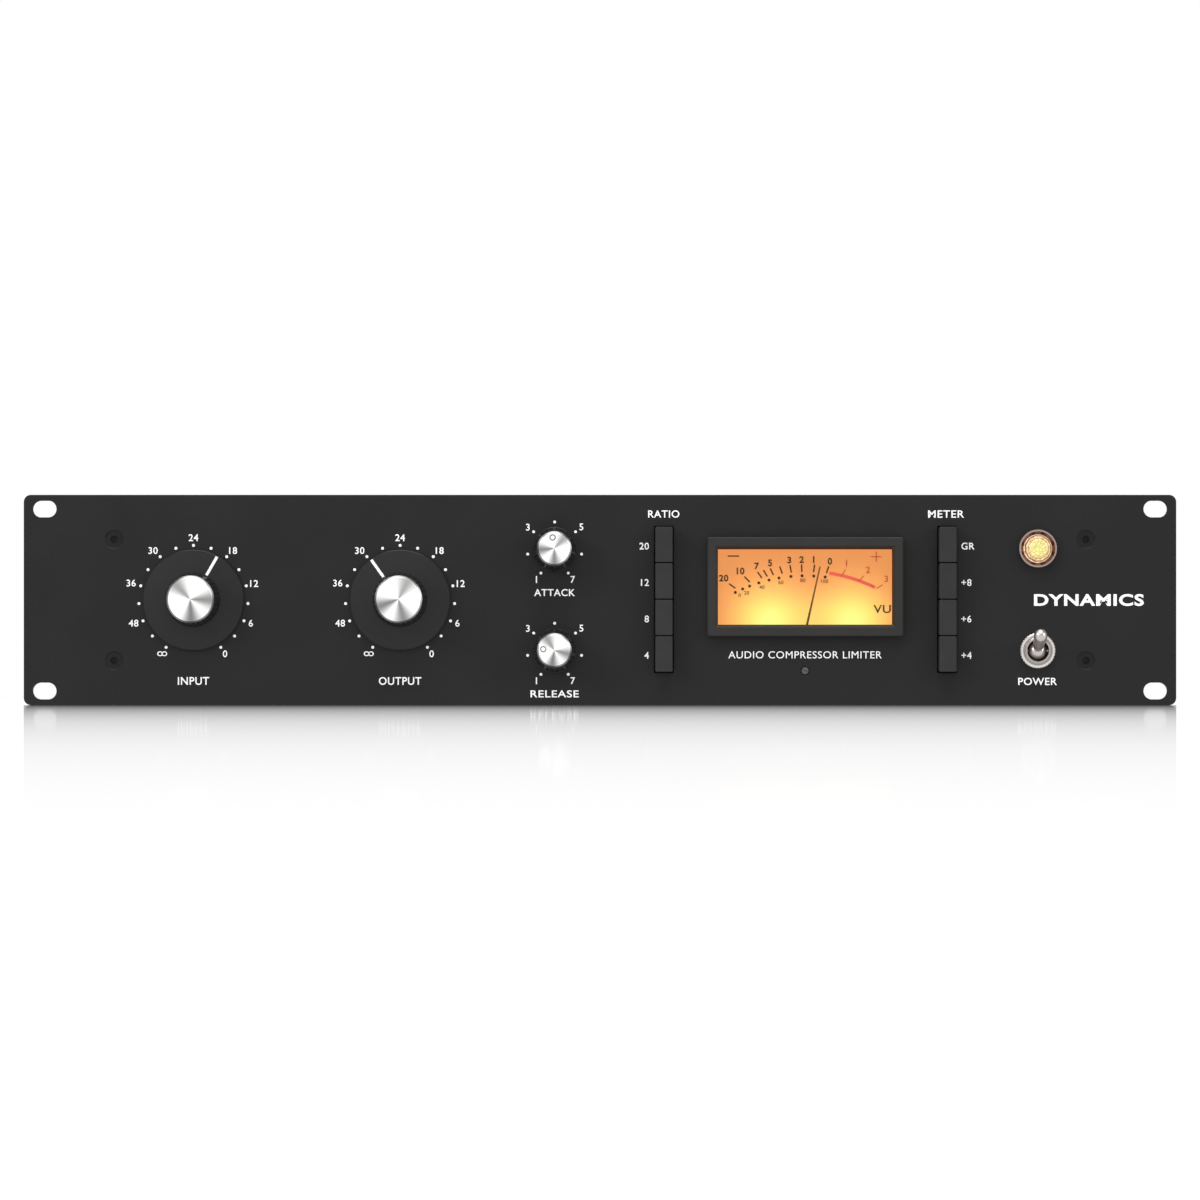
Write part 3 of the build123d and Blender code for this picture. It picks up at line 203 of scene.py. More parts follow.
def soft_lamp(name, place, size, watts):
    """Square area lamp that faces the middle of the panel."""
    bpy.ops.object.light_add(type="AREA", location=place)
    lamp = bpy.context.object
    lamp.name = name
    lamp.data.shape = "SQUARE"
    lamp.data.size = size
    lamp.data.energy = watts
    lamp.rotation_euler = (-Vector(place)).to_track_quat("-Z", "Y").to_euler()


def surround():
    """White where it is seen, dimmer as a light on the object."""
    world = bpy.data.worlds.new("studio")
    world.use_nodes = True
    tree = world.node_tree
    background = tree.nodes["Background"]
    background.inputs["Color"].default_value = (1, 1, 1, 1)
    path = tree.nodes.new("ShaderNodeLightPath")
    level = ranged(tree, path.outputs["Is Camera Ray"], (SURROUND_LIGHT, SURROUND_SEEN))
    tree.links.new(level, background.inputs["Strength"])
    bpy.context.scene.world = world


clear_selection()
surround()
for name, place, size, watts in LAMPS:
    soft_lamp(name, place, size, watts)
bpy.context.scene.view_settings.view_transform = "Standard"
print("surround and", len(LAMPS), "lamps")

# %% Floor
FLOOR_SIZE, FLOOR_CUTS = 9.0, 8
FLOOR_LIGHT = 0.96
FLOOR_GREY = (0.05, 0.05, 0.05)
LACQUER, LACQUER_REACH, LACQUER_FADE = 0.98, 2.08, 1.2
LACQUER_ROUGH = 0.03
GLANCE_FROM, GLANCE_FULL = 0.90, 0.97
HALF_PANEL = CAD_BOX[1][0]


def studio_floor():
    """Large pale floor with a lacquered strip that fades out in front of the panel."""
    bpy.ops.mesh.primitive_plane_add(size=FLOOR_SIZE, location=(0, 0, FLOOR))
    floor = bpy.context.object
    floor.name = "studio_floor"
    bpy.ops.object.mode_set(mode="EDIT")
    bpy.ops.mesh.subdivide(number_cuts=FLOOR_CUTS)
    bpy.ops.object.mode_set(mode="OBJECT")
    bpy.ops.object.transform_apply()
    paint, tree, matt = new_material("pale_floor")
    matt.inputs["Base Color"].default_value = (*FLOOR_GREY, 1)
    matt.inputs["Roughness"].default_value = 1.0
    matt.inputs["Specular IOR Level"].default_value = 0.0
    matt.inputs["Emission Color"].default_value = (1, 1, 1, 1)
    matt.inputs["Emission Strength"].default_value = FLOOR_LIGHT
    lacquer = tree.nodes.new("ShaderNodeBsdfGlossy")
    lacquer.inputs["Roughness"].default_value = LACQUER_ROUGH
    place = tree.nodes.new("ShaderNodeTexCoord")
    parts = tree.nodes.new("ShaderNodeSeparateXYZ")
    tree.links.new(place.outputs["Object"], parts.inputs["Vector"])
    ahead = maths(tree, "SUBTRACT", FACE, parts.outputs["Y"])
    left = maths(tree, "MAXIMUM", maths(tree, "MULTIPLY_ADD", ahead, -1 / LACQUER_REACH, 1.0), 0.0)
    fade = maths(tree, "POWER", left, LACQUER_FADE)
    in_front = maths(tree, "GREATER_THAN", ahead, 0.0)
    half_strip = maths(tree, "MULTIPLY_ADD", ahead, -HALF_PANEL / VIEW_DISTANCE, HALF_PANEL)
    beside = maths(tree, "ABSOLUTE", parts.outputs["X"])
    in_strip = maths(tree, "LESS_THAN", beside, half_strip)
    slant = tree.nodes.new("ShaderNodeLayerWeight")
    glancing = ranged(tree, slant.outputs["Facing"], (0.0, 1.0), (GLANCE_FROM, GLANCE_FULL))
    gloss = maths(tree, "MULTIPLY", glancing, LACQUER)
    along = maths(tree, "MULTIPLY", fade, in_front)
    amount = maths(tree, "MULTIPLY", along, maths(tree, "MULTIPLY", in_strip, gloss))
    blend = tree.nodes.new("ShaderNodeMixShader")
    tree.links.new(amount, blend.inputs["Fac"])
    tree.links.new(matt.outputs["BSDF"], blend.inputs[1])
    tree.links.new(lacquer.outputs["BSDF"], blend.inputs[2])
    tree.links.new(blend.outputs["Shader"], tree.nodes["Material Output"].inputs["Surface"])
    floor.data.materials.append(paint)


clear_selection()
studio_floor()
print("floor", FLOOR_SIZE, "m across")

# %% [markdown]
# ## Finishes
# Paint, moulded plastic and plated metal differ in three things: how their colour drifts, how rough
# they are from place to place, and how fine their grain is. One function builds all three
# from noise on the piece's own coordinates, so each finish is a line of numbers.

# %% Making a finish
CLOUD_DETAIL, GRAIN_DETAIL = 4, 2
CLOUD_FROM, CLOUD_TO = 0.3, 0.7


def finish(name, dark, light, rough, grain=0.0004, bump=0.0, metal=0.0, patch=0.03, shine=0.5, glow=None):
    """Material whose colour drifts from dark to light, with roughness from a range and a fine grain."""
    made, tree, shader = new_material(name)
    shader.inputs["Metallic"].default_value = metal
    shader.inputs["Specular IOR Level"].default_value = shine
    place = tree.nodes.new("ShaderNodeTexCoord")

    drift = tree.nodes.new("ShaderNodeTexNoise")
    drift.inputs["Scale"].default_value = 1 / patch
    drift.inputs["Detail"].default_value = CLOUD_DETAIL
    tree.links.new(place.outputs["Object"], drift.inputs["Vector"])
    tint = colours_along(tree, drift.outputs["Fac"], [(CLOUD_FROM, dark), (CLOUD_TO, light)])
    tree.links.new(tint, shader.inputs["Base Color"])

    speckle = tree.nodes.new("ShaderNodeTexNoise")
    speckle.inputs["Scale"].default_value = 1 / grain
    speckle.inputs["Detail"].default_value = GRAIN_DETAIL
    tree.links.new(place.outputs["Object"], speckle.inputs["Vector"])
    tree.links.new(ranged(tree, speckle.outputs["Fac"], rough), shader.inputs["Roughness"])
    if bump:
        relief = tree.nodes.new("ShaderNodeBump")
        relief.inputs["Strength"].default_value = bump
        relief.inputs["Distance"].default_value = grain
        tree.links.new(speckle.outputs["Fac"], relief.inputs["Height"])
        tree.links.new(relief.outputs["Normal"], shader.inputs["Normal"])
    if glow:
        shader.inputs["Emission Color"].default_value = (*glow[0], 1)
        shader.inputs["Emission Strength"].default_value = glow[1]
    return made


def wear(material, *nodes):
    """Give a finish to solids of the frame."""
    for node in nodes:
        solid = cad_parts[node]
        for held in solid.material_slots:
            held.material = material


print("finishes read object coordinates, so they stay put when a piece moves")

# %% [markdown]
# The panel is sprayed satin black with a fine texture; the folded case has a coarser powder coat.
# Both are nearly black, and what lifts them is the soft reflection of the studio.

# %% Painted metal
panel_black = finish(
    "panel_black", (0.0105, 0.0105, 0.0107), (0.0130, 0.0130, 0.0132), (0.42, 0.56), 0.0005, 0.10, shine=0.17
)
case_black = finish(
    "case_black", (0.013, 0.013, 0.014), (0.019, 0.019, 0.02), (0.45, 0.62), 0.0009, 0.3, shine=0.3
)
wear(panel_black, "front_panel")
wear(case_black, "chassis_tray", "rear_panel", "top_cover")
print("painted the panel and the case")

# %% [markdown]
# Knobs, keys and the bezel are moulded. The knobs are the smoothest, the keys a little greyer, and
# the bezel's colour carries a painted warm glow of the lit meter.

# %% Moulded plastic
knob_black = finish(
    "knob_black", (0.011, 0.011, 0.011), (0.014, 0.014, 0.014), (0.32, 0.44), 0.0003, 0.04, shine=0.24
)
key_grey = finish(
    "key_grey", (0.024, 0.024, 0.024), (0.029, 0.029, 0.029), (0.45, 0.6), 0.0003, 0.08,
    patch=0.01, shine=0.12,
)
# Warm tinge in the bezel's colour: painted glow of the lit meter.
bezel_black = finish(
    "bezel_black", (0.024, 0.0235, 0.0225), (0.029, 0.028, 0.0265), (0.4, 0.5), 0.0004, 0.06, shine=0.12
)
connector_black = finish(
    "connector_black", (0.012, 0.012, 0.012), (0.02, 0.02, 0.02), (0.35, 0.5), 0.0005, 0.08
)
KNOBS = [name + "_knob" for name in CONTROLS]
KEYS = [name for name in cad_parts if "_button_" in name]
wear(knob_black, *KNOBS)
wear(key_grey, *KEYS)
wear(bezel_black, "meter_bezel")
wear(connector_black, "mains_inlet", "fuse_drawer", "pilot_holder", "meter_case")
wear(connector_black, "ratio_switch_bank", "meter_switch_bank")
print("moulded", len(KNOBS), "knobs and", len(KEYS), "keys")

# %% [markdown]
# Plated and turned metal. Nickel is warm and slightly rough, the toggle's lever is rubbed, and the
# screws are black oxide.

# %% Metals
nickel = finish(
    "nickel", (0.62, 0.60, 0.57), (0.75, 0.73, 0.70), (0.16, 0.3), 0.0006, 0.03, metal=1.0, patch=0.006
)
warm = finish(
    "worn_nickel", (0.40, 0.36, 0.33), (0.52, 0.48, 0.44), (0.34, 0.46), 0.0006, 0.03, metal=1.0, patch=0.006
)
rubbed = finish(
    "rubbed_nickel", (0.50, 0.47, 0.45), (0.60, 0.57, 0.55), (0.3, 0.4), 0.0006, metal=1.0, patch=0.003
)
steel = finish(
    "turned_steel", (0.42, 0.42, 0.43), (0.55, 0.55, 0.56), (0.25, 0.4), 0.0005, metal=1.0, patch=0.01
)
dull = finish(
    "dull_steel", (0.06, 0.06, 0.06), (0.09, 0.09, 0.09), (0.4, 0.5), 0.0004, metal=0.4, patch=0.01
)
zinc = finish(
    "zinc_plate", (0.45, 0.46, 0.45), (0.62, 0.61, 0.56), (0.3, 0.5), 0.001, 0.05, metal=1.0, patch=0.01
)
oxide = finish(
    "black_oxide", (0.005, 0.005, 0.005), (0.009, 0.009, 0.01), (0.35, 0.5), 0.0006, 0.05, shine=0.2
)
gold = finish(
    "gold_flash", (0.75, 0.52, 0.22), (0.85, 0.62, 0.3), (0.18, 0.3), 0.0005, metal=1.0, patch=0.005
)
SHAFTS = [name + "_shaft" for name in CONTROLS]
POTS = [name + "_pot" for name in CONTROLS]
wear(nickel, "pot_nuts", "line_jacks", "output_xlr", "xlr_latch")
wear(warm, "toggle_body")
wear(rubbed, "toggle_lever")
wear(steel, *SHAFTS, "meter_movement")
wear(dull, "meter_zero_screw")
wear(zinc, *POTS, "board_standoffs")
wear(oxide, "panel_screws", "case_screws", "connector_screws")
wear(gold, "connector_pins")
print("plated the metal pieces")

# %% [markdown]
# Three nodes carry two colours each, parted by a circle: the pilot lamp's ring is bright outside
# and brown inside, the toggle's nut has a painted highlight round its rim, and the female connector has a
# black insert in a plated shell. The radius from the piece's own axis chooses between them.

# %% Two finishes on one solid
EDGE_BLEND = 0.1 * MM
PLATE_GRAIN = 2000
RING_BAND = 1.0 * MM
NUT_HIGHLIGHT_BAND = 1.1 * MM
INSERT_R = 8.6 * MM
RING_COLOURS = (0.17, 0.085, 0.05), (0.38, 0.30, 0.28)
# The toggle nut's bright outer colour is a painted highlight on its rim.
NUT_COLOURS_WITH_PAINTED_HIGHLIGHT = (0.34, 0.30, 0.27), (0.74, 0.71, 0.68)
SHELL_COLOURS = (0.012, 0.012, 0.012), (0.62, 0.6, 0.57)


def radius_about(tree, centre):
    """Place and distance from an axis that runs to the rear through a centre."""
    place = tree.nodes.new("ShaderNodeTexCoord")
    flat = tree.nodes.new("ShaderNodeMapping")
    flat.inputs["Location"].default_value = (-centre.x, 0, -centre.z)
    flat.inputs["Scale"].default_value = (1, 0, 1)
    tree.links.new(place.outputs["Object"], flat.inputs["Vector"])
    radius = tree.nodes.new("ShaderNodeVectorMath")
    radius.operation = "LENGTH"
    tree.links.new(flat.outputs["Vector"], radius.inputs[0])
    return flat.outputs["Vector"], radius.outputs["Value"]


def two_rings(name, centre, edge, colours, metal, rough):
    """Material with one colour inside a radius and another outside it."""
    made, tree, shader = new_material(name)
    _, radius = radius_about(tree, centre)
    outside = ranged(tree, radius, (0.0, 1.0), (edge - EDGE_BLEND, edge + EDGE_BLEND))
    tint = colours_along(tree, outside, [(0.0, colours[0]), (1.0, colours[1])])
    tree.links.new(tint, shader.inputs["Base Color"])
    tree.links.new(ranged(tree, outside, metal), shader.inputs["Metallic"])
    grain = tree.nodes.new("ShaderNodeTexNoise")
    grain.inputs["Scale"].default_value = PLATE_GRAIN
    tree.links.new(ranged(tree, grain.outputs["Fac"], rough), shader.inputs["Roughness"])
    return made


ring_edge = half_width("pilot_bezel") - RING_BAND
nut_highlight_edge = half_width("toggle_nut") - NUT_HIGHLIGHT_BAND
ring_plate = two_rings("ring_plate", middle("pilot_bezel"), ring_edge, RING_COLOURS, (0.9, 1), (0.15, 0.25))
nut_painted_highlight = two_rings("nut_painted_highlight", middle("toggle_nut"), nut_highlight_edge, NUT_COLOURS_WITH_PAINTED_HIGHLIGHT, (1, 1), (0.3, 0.42))
shell = two_rings("shell_and_insert", middle("input_xlr"), INSERT_R, SHELL_COLOURS, (0, 1), (0.2, 0.35))
wear(ring_plate, "pilot_bezel")
wear(nut_painted_highlight, "toggle_nut")
wear(shell, "input_xlr")
print("lamp ring edge at", round(ring_edge / MM, 2), "mm")

# %% [markdown]
# Inside: a green board, grey screened cans, dark capacitor sleeves and yellow winding tape.

# %% Finishes inside the case
board_green = finish(
    "board_green", (0.02, 0.11, 0.05), (0.03, 0.16, 0.07), (0.25, 0.4), 0.0008, 0.1, patch=0.02
)
can_grey = finish("can_grey", (0.16, 0.16, 0.17), (0.22, 0.22, 0.23), (0.35, 0.5), 0.0006, 0.1)
sleeve = finish("sleeve", (0.012, 0.016, 0.05), (0.02, 0.026, 0.07), (0.2, 0.3), 0.0006)
tape = finish("winding_tape", (0.45, 0.33, 0.08), (0.6, 0.46, 0.14), (0.12, 0.3), 0.003, 0.4, patch=0.012)
needle_ink = finish("needle_brown", (0.13, 0.07, 0.008), (0.17, 0.09, 0.012), (0.5, 0.6), shine=0.05)
wear(board_green, "main_board")
wear(can_grey, "audio_transformers")
wear(sleeve, "board_capacitors")
wear(tape, "mains_transformer")
wear(needle_ink, "meter_needle")
print("finished the inside")

# %% [markdown]
# ## Spun aluminium
# A knob's cap is faced on a lathe, and the cut leaves fine rings. Light spreads across the rings and not
# along them, which gives bright and dark wedges. The shader's anisotropy does part of this, as its tangent
# runs round the cap's own centre. The rest is painted shade in the colour: three darker wedges, given by
# their place as a share of a turn, and each cap's set is turned by an angle of its own. A darker band on
# the bevel is painted shade too.

# %% Spun caps
# Painted shade: three darker wedges put into the caps' base colour.
PAINTED_SHADE_WEDGES = [(0.125, 0.28), (0.36, 0.24), (0.745, 0.37)]
WEDGE_HALF = 0.115
WEDGE_TINT = (1.0, 0.99, 0.985)
WEDGE_TURN = {"input": 47.0, "output": 120.0, "attack": 135.0, "release": 60.0}
WHITE = (1.0, 1.0, 1.0)
STRETCH = 0.8
LATHE_GRAIN, LATHE_DETAIL = 4000, 3
LATHE_TONE, LATHE_ROUGH = (0.86, 1.14), (0.24, 0.38)
BEVEL_BAND = 0.7 * MM
# The bevel's darker band is painted shade.
PAINTED_BEVEL_SHADE = 0.24


def wedge_stops():
    """White all round, but for a dip of painted shade at each wedge."""
    stops = [(0.0, WHITE)]
    for spot, level in PAINTED_SHADE_WEDGES:
        for place, shade in ((spot - WEDGE_HALF, 1.0), (spot, level), (spot + WEDGE_HALF, 1.0)):
            stops.append((place, [shade * part for part in WEDGE_TINT]))
    return stops + [(1.0, WHITE)]


def tangent_round(tree, flat):
    """Direction round the axis, in world space."""
    around = tree.nodes.new("ShaderNodeVectorMath")
    around.operation = "CROSS_PRODUCT"
    around.inputs[1].default_value = (0, 1, 0)
    tree.links.new(flat, around.inputs[0])
    along = tree.nodes.new("ShaderNodeVectorTransform")
    along.vector_type = "VECTOR"
    along.convert_from = "OBJECT"
    along.convert_to = "WORLD"
    tree.links.new(around.outputs["Vector"], along.inputs["Vector"])
    unit = tree.nodes.new("ShaderNodeVectorMath")
    unit.operation = "NORMALIZE"
    tree.links.new(along.outputs["Vector"], unit.inputs[0])
    return unit.outputs["Vector"]


def spun_face(name, cap, turn):
    """Aluminium with its grain in rings about a cap's centre, painted shade wedges and a bevel darkened with
    painted shade.
    """
    bevel_in = half_width(cap) - BEVEL_BAND
    made, tree, shader = new_material(name)
    shader.inputs["Metallic"].default_value = 1.0
    shader.inputs["Anisotropic"].default_value = STRETCH
    flat, radius = radius_about(tree, middle(cap))
    tree.links.new(tangent_round(tree, flat), shader.inputs["Tangent"])

    parts = tree.nodes.new("ShaderNodeSeparateXYZ")
    tree.links.new(flat, parts.inputs["Vector"])
    clock = maths(tree, "ARCTAN2", parts.outputs["X"], parts.outputs["Z"])
    share = maths(tree, "DIVIDE", maths(tree, "SUBTRACT", clock, math.radians(turn)), 2 * math.pi)
    # painted shade wedges, turned with each cap
    wedges = colours_along(tree, maths(tree, "FRACT", share), wedge_stops(), "EASE")

    rings = tree.nodes.new("ShaderNodeTexNoise")
    rings.noise_dimensions = "1D"
    rings.inputs["Scale"].default_value = LATHE_GRAIN
    rings.inputs["Detail"].default_value = LATHE_DETAIL
    tree.links.new(radius, rings.inputs["W"])
    faint = ranged(tree, rings.outputs["Fac"], LATHE_TONE)
    bevel = ranged(tree, radius, (1.0, PAINTED_BEVEL_SHADE), (bevel_in, bevel_in + EDGE_BLEND))
    cut = darker(tree, wedges, maths(tree, "MULTIPLY", faint, bevel))
    tree.links.new(cut, shader.inputs["Base Color"])
    tree.links.new(ranged(tree, rings.outputs["Fac"], LATHE_ROUGH), shader.inputs["Roughness"])
    return made


for name, turn in WEDGE_TURN.items():
    cap = name + "_knob_cap"
    wear(spun_face("spun_" + name, cap, turn), cap)
print("spun", len(WEDGE_TURN), "caps")

# %% [markdown]
# ## Meter face, window and pilot lamp
# A bulb on each side lights the meter's amber card. That light is painted: the card gives off two pale
# yellow pools of painted light. Its colour is worked out from the distance to each pool's middle and given
# off as light, so the meter also warms its own bezel.

# %% Lit materials
CARD_ROUGH, CARD_GLOW, CARD_DARK = 0.7, 0.98, 0.15
# From the card's own amber, far from the pools, to the painted yellow light at their middles.
CARD_AND_PAINTED_POOL_COLOURS = [
    (0.0, (0.80, 0.285, 0.070)), (0.10, (0.90, 0.35, 0.085)), (0.28, (0.97, 0.53, 0.115)),
    (0.52, (0.95, 0.76, 0.16)), (0.8, (0.92, 0.94, 0.235)),
]
POOL_LEFT, POOL_RIGHT, POOL_DROP = 14.2 * MM, 20.0 * MM, 14.6 * MM
POOL_REACH = (31 * MM, 31 * MM, 29 * MM)
# Lamp glow from the centre out. The dark band is painted shade and the peach bands are painted highlights.
JEWEL_GLOW_AND_PAINTED_RIM_BANDS = [
    (0.0, (1.0, 0.88, 0.31)), (0.62, (1.0, 0.84, 0.32)), (0.70, (0.62, 0.36, 0.12)),
    (0.745, (0.80, 0.52, 0.24)), (0.785, (0.96, 0.80, 0.50)), (0.85, (0.90, 0.62, 0.36)),
    (0.88, (0.20, 0.08, 0.03)), (0.92, (0.26, 0.11, 0.05)), (0.945, (0.95, 0.66, 0.42)),
    (1.0, (0.96, 0.70, 0.46)),
]
JEWEL_FACETS = 12
JEWEL_IOR, JEWEL_GLOW, JEWEL_DARK = 1.45, 0.95, 0.12
SCALLOP = 0.012
SPARKLE_SCALE, SPARKLE_EDGE, SPARKLE_TONE, SPARKLE_ROUGH = 620, 0.16, (0.6, 1.0), (0.06, 0.16)


def painted_glow_scale(bulbs):
    """Amber card with a painted pool of yellow light at each of two bulbs."""
    made, tree, shader = new_material("painted_glow_scale")
    shader.inputs["Roughness"].default_value = CARD_ROUGH
    place = tree.nodes.new("ShaderNodeTexCoord")
    pools = []
    for spot in bulbs:
        near = tree.nodes.new("ShaderNodeMapping")
        near.vector_type = "TEXTURE"
        near.inputs["Location"].default_value = spot
        near.inputs["Scale"].default_value = POOL_REACH
        tree.links.new(place.outputs["Object"], near.inputs["Vector"])
        pool = tree.nodes.new("ShaderNodeTexGradient")
        pool.gradient_type = "QUADRATIC_SPHERE"
        tree.links.new(near.outputs["Vector"], pool.inputs["Vector"])
        pools.append(pool.outputs["Fac"])
    both = maths(tree, "ADD", *pools)
    both.node.use_clamp = True
    colour = colours_along(tree, both, CARD_AND_PAINTED_POOL_COLOURS)
    tree.links.new(colour, shader.inputs["Emission Color"])
    shader.inputs["Emission Strength"].default_value = CARD_GLOW
    tree.links.new(darker(tree, colour, CARD_DARK), shader.inputs["Base Color"])
    return made


def clear_glass(name, colour, rough, ior, glow=0.0):
    """Glass or clear plastic, with a little light of its own where a lamp is behind it."""
    made, _, shader = new_material(name)
    shader.inputs["Base Color"].default_value = (*colour, 1)
    shader.inputs["Roughness"].default_value = rough
    shader.inputs["IOR"].default_value = ior
    shader.inputs["Transmission Weight"].default_value = 1.0
    shader.inputs["Emission Color"].default_value = (*colour, 1)
    shader.inputs["Emission Strength"].default_value = glow
    return made


def lit_jewel(centre, reach):
    """Faceted amber lens over a bulb: pale glow in the middle, with painted shade and painted highlight
    bands near its rim.
    """
    made, tree, shader = new_material("lit_jewel")
    shader.inputs["IOR"].default_value = JEWEL_IOR
    shader.inputs["Emission Strength"].default_value = JEWEL_GLOW
    flat, radius = radius_about(tree, centre)
    parts = tree.nodes.new("ShaderNodeSeparateXYZ")
    tree.links.new(flat, parts.inputs["Vector"])
    clock = maths(tree, "ARCTAN2", parts.outputs["X"], parts.outputs["Z"])
    wave = maths(tree, "COSINE", maths(tree, "MULTIPLY", clock, JEWEL_FACETS))
    scallop = maths(tree, "MULTIPLY_ADD", radius, 1 / reach, maths(tree, "MULTIPLY", wave, SCALLOP))
    bands = colours_along(tree, scallop, JEWEL_GLOW_AND_PAINTED_RIM_BANDS)
    # Darker cell edges in the glow are painted facets.
    sparkle = tree.nodes.new("ShaderNodeTexVoronoi")
    sparkle.feature = "DISTANCE_TO_EDGE"
    sparkle.inputs["Scale"].default_value = SPARKLE_SCALE
    tree.links.new(flat, sparkle.inputs["Vector"])
    edges = sparkle.outputs["Distance"]
    tint = darker(tree, bands, ranged(tree, edges, SPARKLE_TONE, (0.0, SPARKLE_EDGE)))
    tree.links.new(tint, shader.inputs["Emission Color"])
    tree.links.new(darker(tree, tint, JEWEL_DARK), shader.inputs["Base Color"])
    tree.links.new(ranged(tree, edges, SPARKLE_ROUGH), shader.inputs["Roughness"])
    return made


PIVOT_X = middle("meter_movement").x
PIVOT_Z = middle("meter_movement").z
VIEW_MIDDLE = middle("meter_window")
scale_y = front_of("meter_scale")
pool_z = VIEW_MIDDLE.z - POOL_DROP
bulbs = [(PIVOT_X - POOL_LEFT, scale_y, pool_z), (PIVOT_X + POOL_RIGHT, scale_y, pool_z)]
wear(painted_glow_scale(bulbs), "meter_scale")
wear(clear_glass("window_clear", WHITE, 0.02, 1.2), "meter_window")
wear(clear_glass("bulb_glass", (1.0, 0.85, 0.5), 0.2, 1.4, 1.0), "meter_lamps")
wear(lit_jewel(middle("pilot_jewel"), half_width("pilot_jewel")), "pilot_jewel")
print("lit the meter and the pilot lamp")

# %% [markdown]
# ## Printing
# The markings are screen-printed: flat, hard-edged ink a few hundredths of a millimetre thick.
# Each word is a text object turned into a mesh and sized by its real height, and each dot is a disc
# with a soft rim. Everything round one control is joined into one piece.

# %% Ink and its tools
INK_T = 0.03 * MM
LETTER_SPACE, LETTER_STEPS, LETTER_DEPTH = 1.08, 4, 0.01
DOT_SIDES = 20
LOOP_LINE, LOOP_APART, LOOP_TALL = 0.12, 0.23, 0.86
white_ink = finish("white_ink", (0.80, 0.80, 0.79), (0.88, 0.88, 0.87), (0.5, 0.65), 0.0003, 0.05)
# The brown and red inks on the meter card give off a painted glow, as the card does.
brown_ink = finish(
    "brown_ink", (0.03, 0.01, 0.002), (0.05, 0.016, 0.003), (0.5, 0.6),
    shine=0.0, glow=((0.06, 0.02, 0.004), 0.6),
)
faint_ink = finish("faint_ink", (0.14, 0.06, 0.01), (0.18, 0.08, 0.015), (0.5, 0.6), shine=0.1)
red_ink = finish(
    "red_ink", (0.4, 0.04, 0.02), (0.5, 0.06, 0.03), (0.5, 0.6),
    shine=0.1, glow=((0.66, 0.10, 0.06), 0.8),
)
deep_red = finish(
    "deep_red_ink", (0.3, 0.03, 0.01), (0.36, 0.04, 0.015), (0.5, 0.6),
    shine=0.0, glow=((0.50, 0.075, 0.018), 0.7),
)


def word(text, x, z, height, y=FACE, width=None, side="CENTER", weight=0.012, facing=1):
    """Printed word centred on z, with its height and, where given, its width in metres."""
    bpy.ops.object.text_add(location=(0, 0, 0))
    letters = bpy.context.object
    letters.data.body = text
    letters.data.size = 1.0
    letters.data.offset = weight
    letters.data.space_character = LETTER_SPACE
    letters.data.resolution_u = LETTER_STEPS
    letters.data.extrude = LETTER_DEPTH
    bpy.ops.object.convert(target="MESH")
    low = [min(v.co[i] for v in letters.data.vertices) for i in range(3)]
    high = [max(v.co[i] for v in letters.data.vertices) for i in range(3)]
    tall = height / (high[1] - low[1])
    wide = width / (high[0] - low[0]) if width else tall
    anchor = {"CENTER": (low[0] + high[0]) / 2, "LEFT": low[0], "RIGHT": high[0]}[side]
    centred = Matrix.Translation((-anchor, -(low[1] + high[1]) / 2, 0))
    sized = Matrix.Diagonal((wide, tall, INK_T / (2 * LETTER_DEPTH), 1))
    upright = Matrix.Rotation(math.pi / 2, 4, "X")
    turned = Matrix.Rotation(0 if facing > 0 else math.pi, 4, "Z")
    letters.data.transform(Matrix.Translation((x, y, z)) @ turned @ upright @ sized @ centred)
    letters.data.update()
    return letters


def dot(x, z, radius, y=FACE):
    """Printed dot: a disc with its rim rounded over."""
    bpy.ops.mesh.primitive_cylinder_add(
        vertices=DOT_SIDES, radius=radius, depth=2 * INK_T, location=(x, y, z), rotation=(math.pi / 2, 0, 0)
    )
    disc = bpy.context.object
    bpy.ops.object.mode_set(mode="EDIT")
    bpy.ops.mesh.bevel(offset=INK_T / 2, segments=1)
    bpy.ops.object.mode_set(mode="OBJECT")
    bpy.ops.object.transform_apply()
    return disc


def infinity(x, z, wide, tall, y=FACE):
    """Printed lying-eight: two flattened rings that touch."""
    loops = []
    for side in (-1, 1):
        bpy.ops.mesh.primitive_torus_add(
            major_radius=wide / 4, minor_radius=tall * LOOP_LINE, major_segments=28, minor_segments=6,
            location=(x + side * wide * LOOP_APART, y, z), rotation=(math.pi / 2, 0, 0),
        )
        loop = bpy.context.object
        loop.scale = (1, 2 * tall / wide * LOOP_TALL, 2 * INK_T / (tall * 2 * LOOP_LINE))
        bpy.ops.object.transform_apply()
        loops.append(loop)
    clear_selection()
    for loop in loops:
        loop.select_set(True)
    bpy.context.view_layer.objects.active = loops[0]
    bpy.ops.object.join()
    return bpy.context.object


def stroke(x0, z0, x1, z1, width, y=FACE):
    """Printed straight line between two points, with its corners rounded."""
    length = math.hypot(x1 - x0, z1 - z0)
    bpy.ops.mesh.primitive_cube_add(size=1, location=((x0 + x1) / 2, y, (z0 + z1) / 2))
    line = bpy.context.object
    line.scale = (length, 2 * INK_T, width)
    line.rotation_euler = (0, -math.atan2(z1 - z0, x1 - x0), 0)
    bpy.ops.object.transform_apply()
    bpy.ops.object.mode_set(mode="EDIT")
    bpy.ops.mesh.bevel(offset=INK_T / 2, segments=1)
    bpy.ops.object.mode_set(mode="OBJECT")
    return line


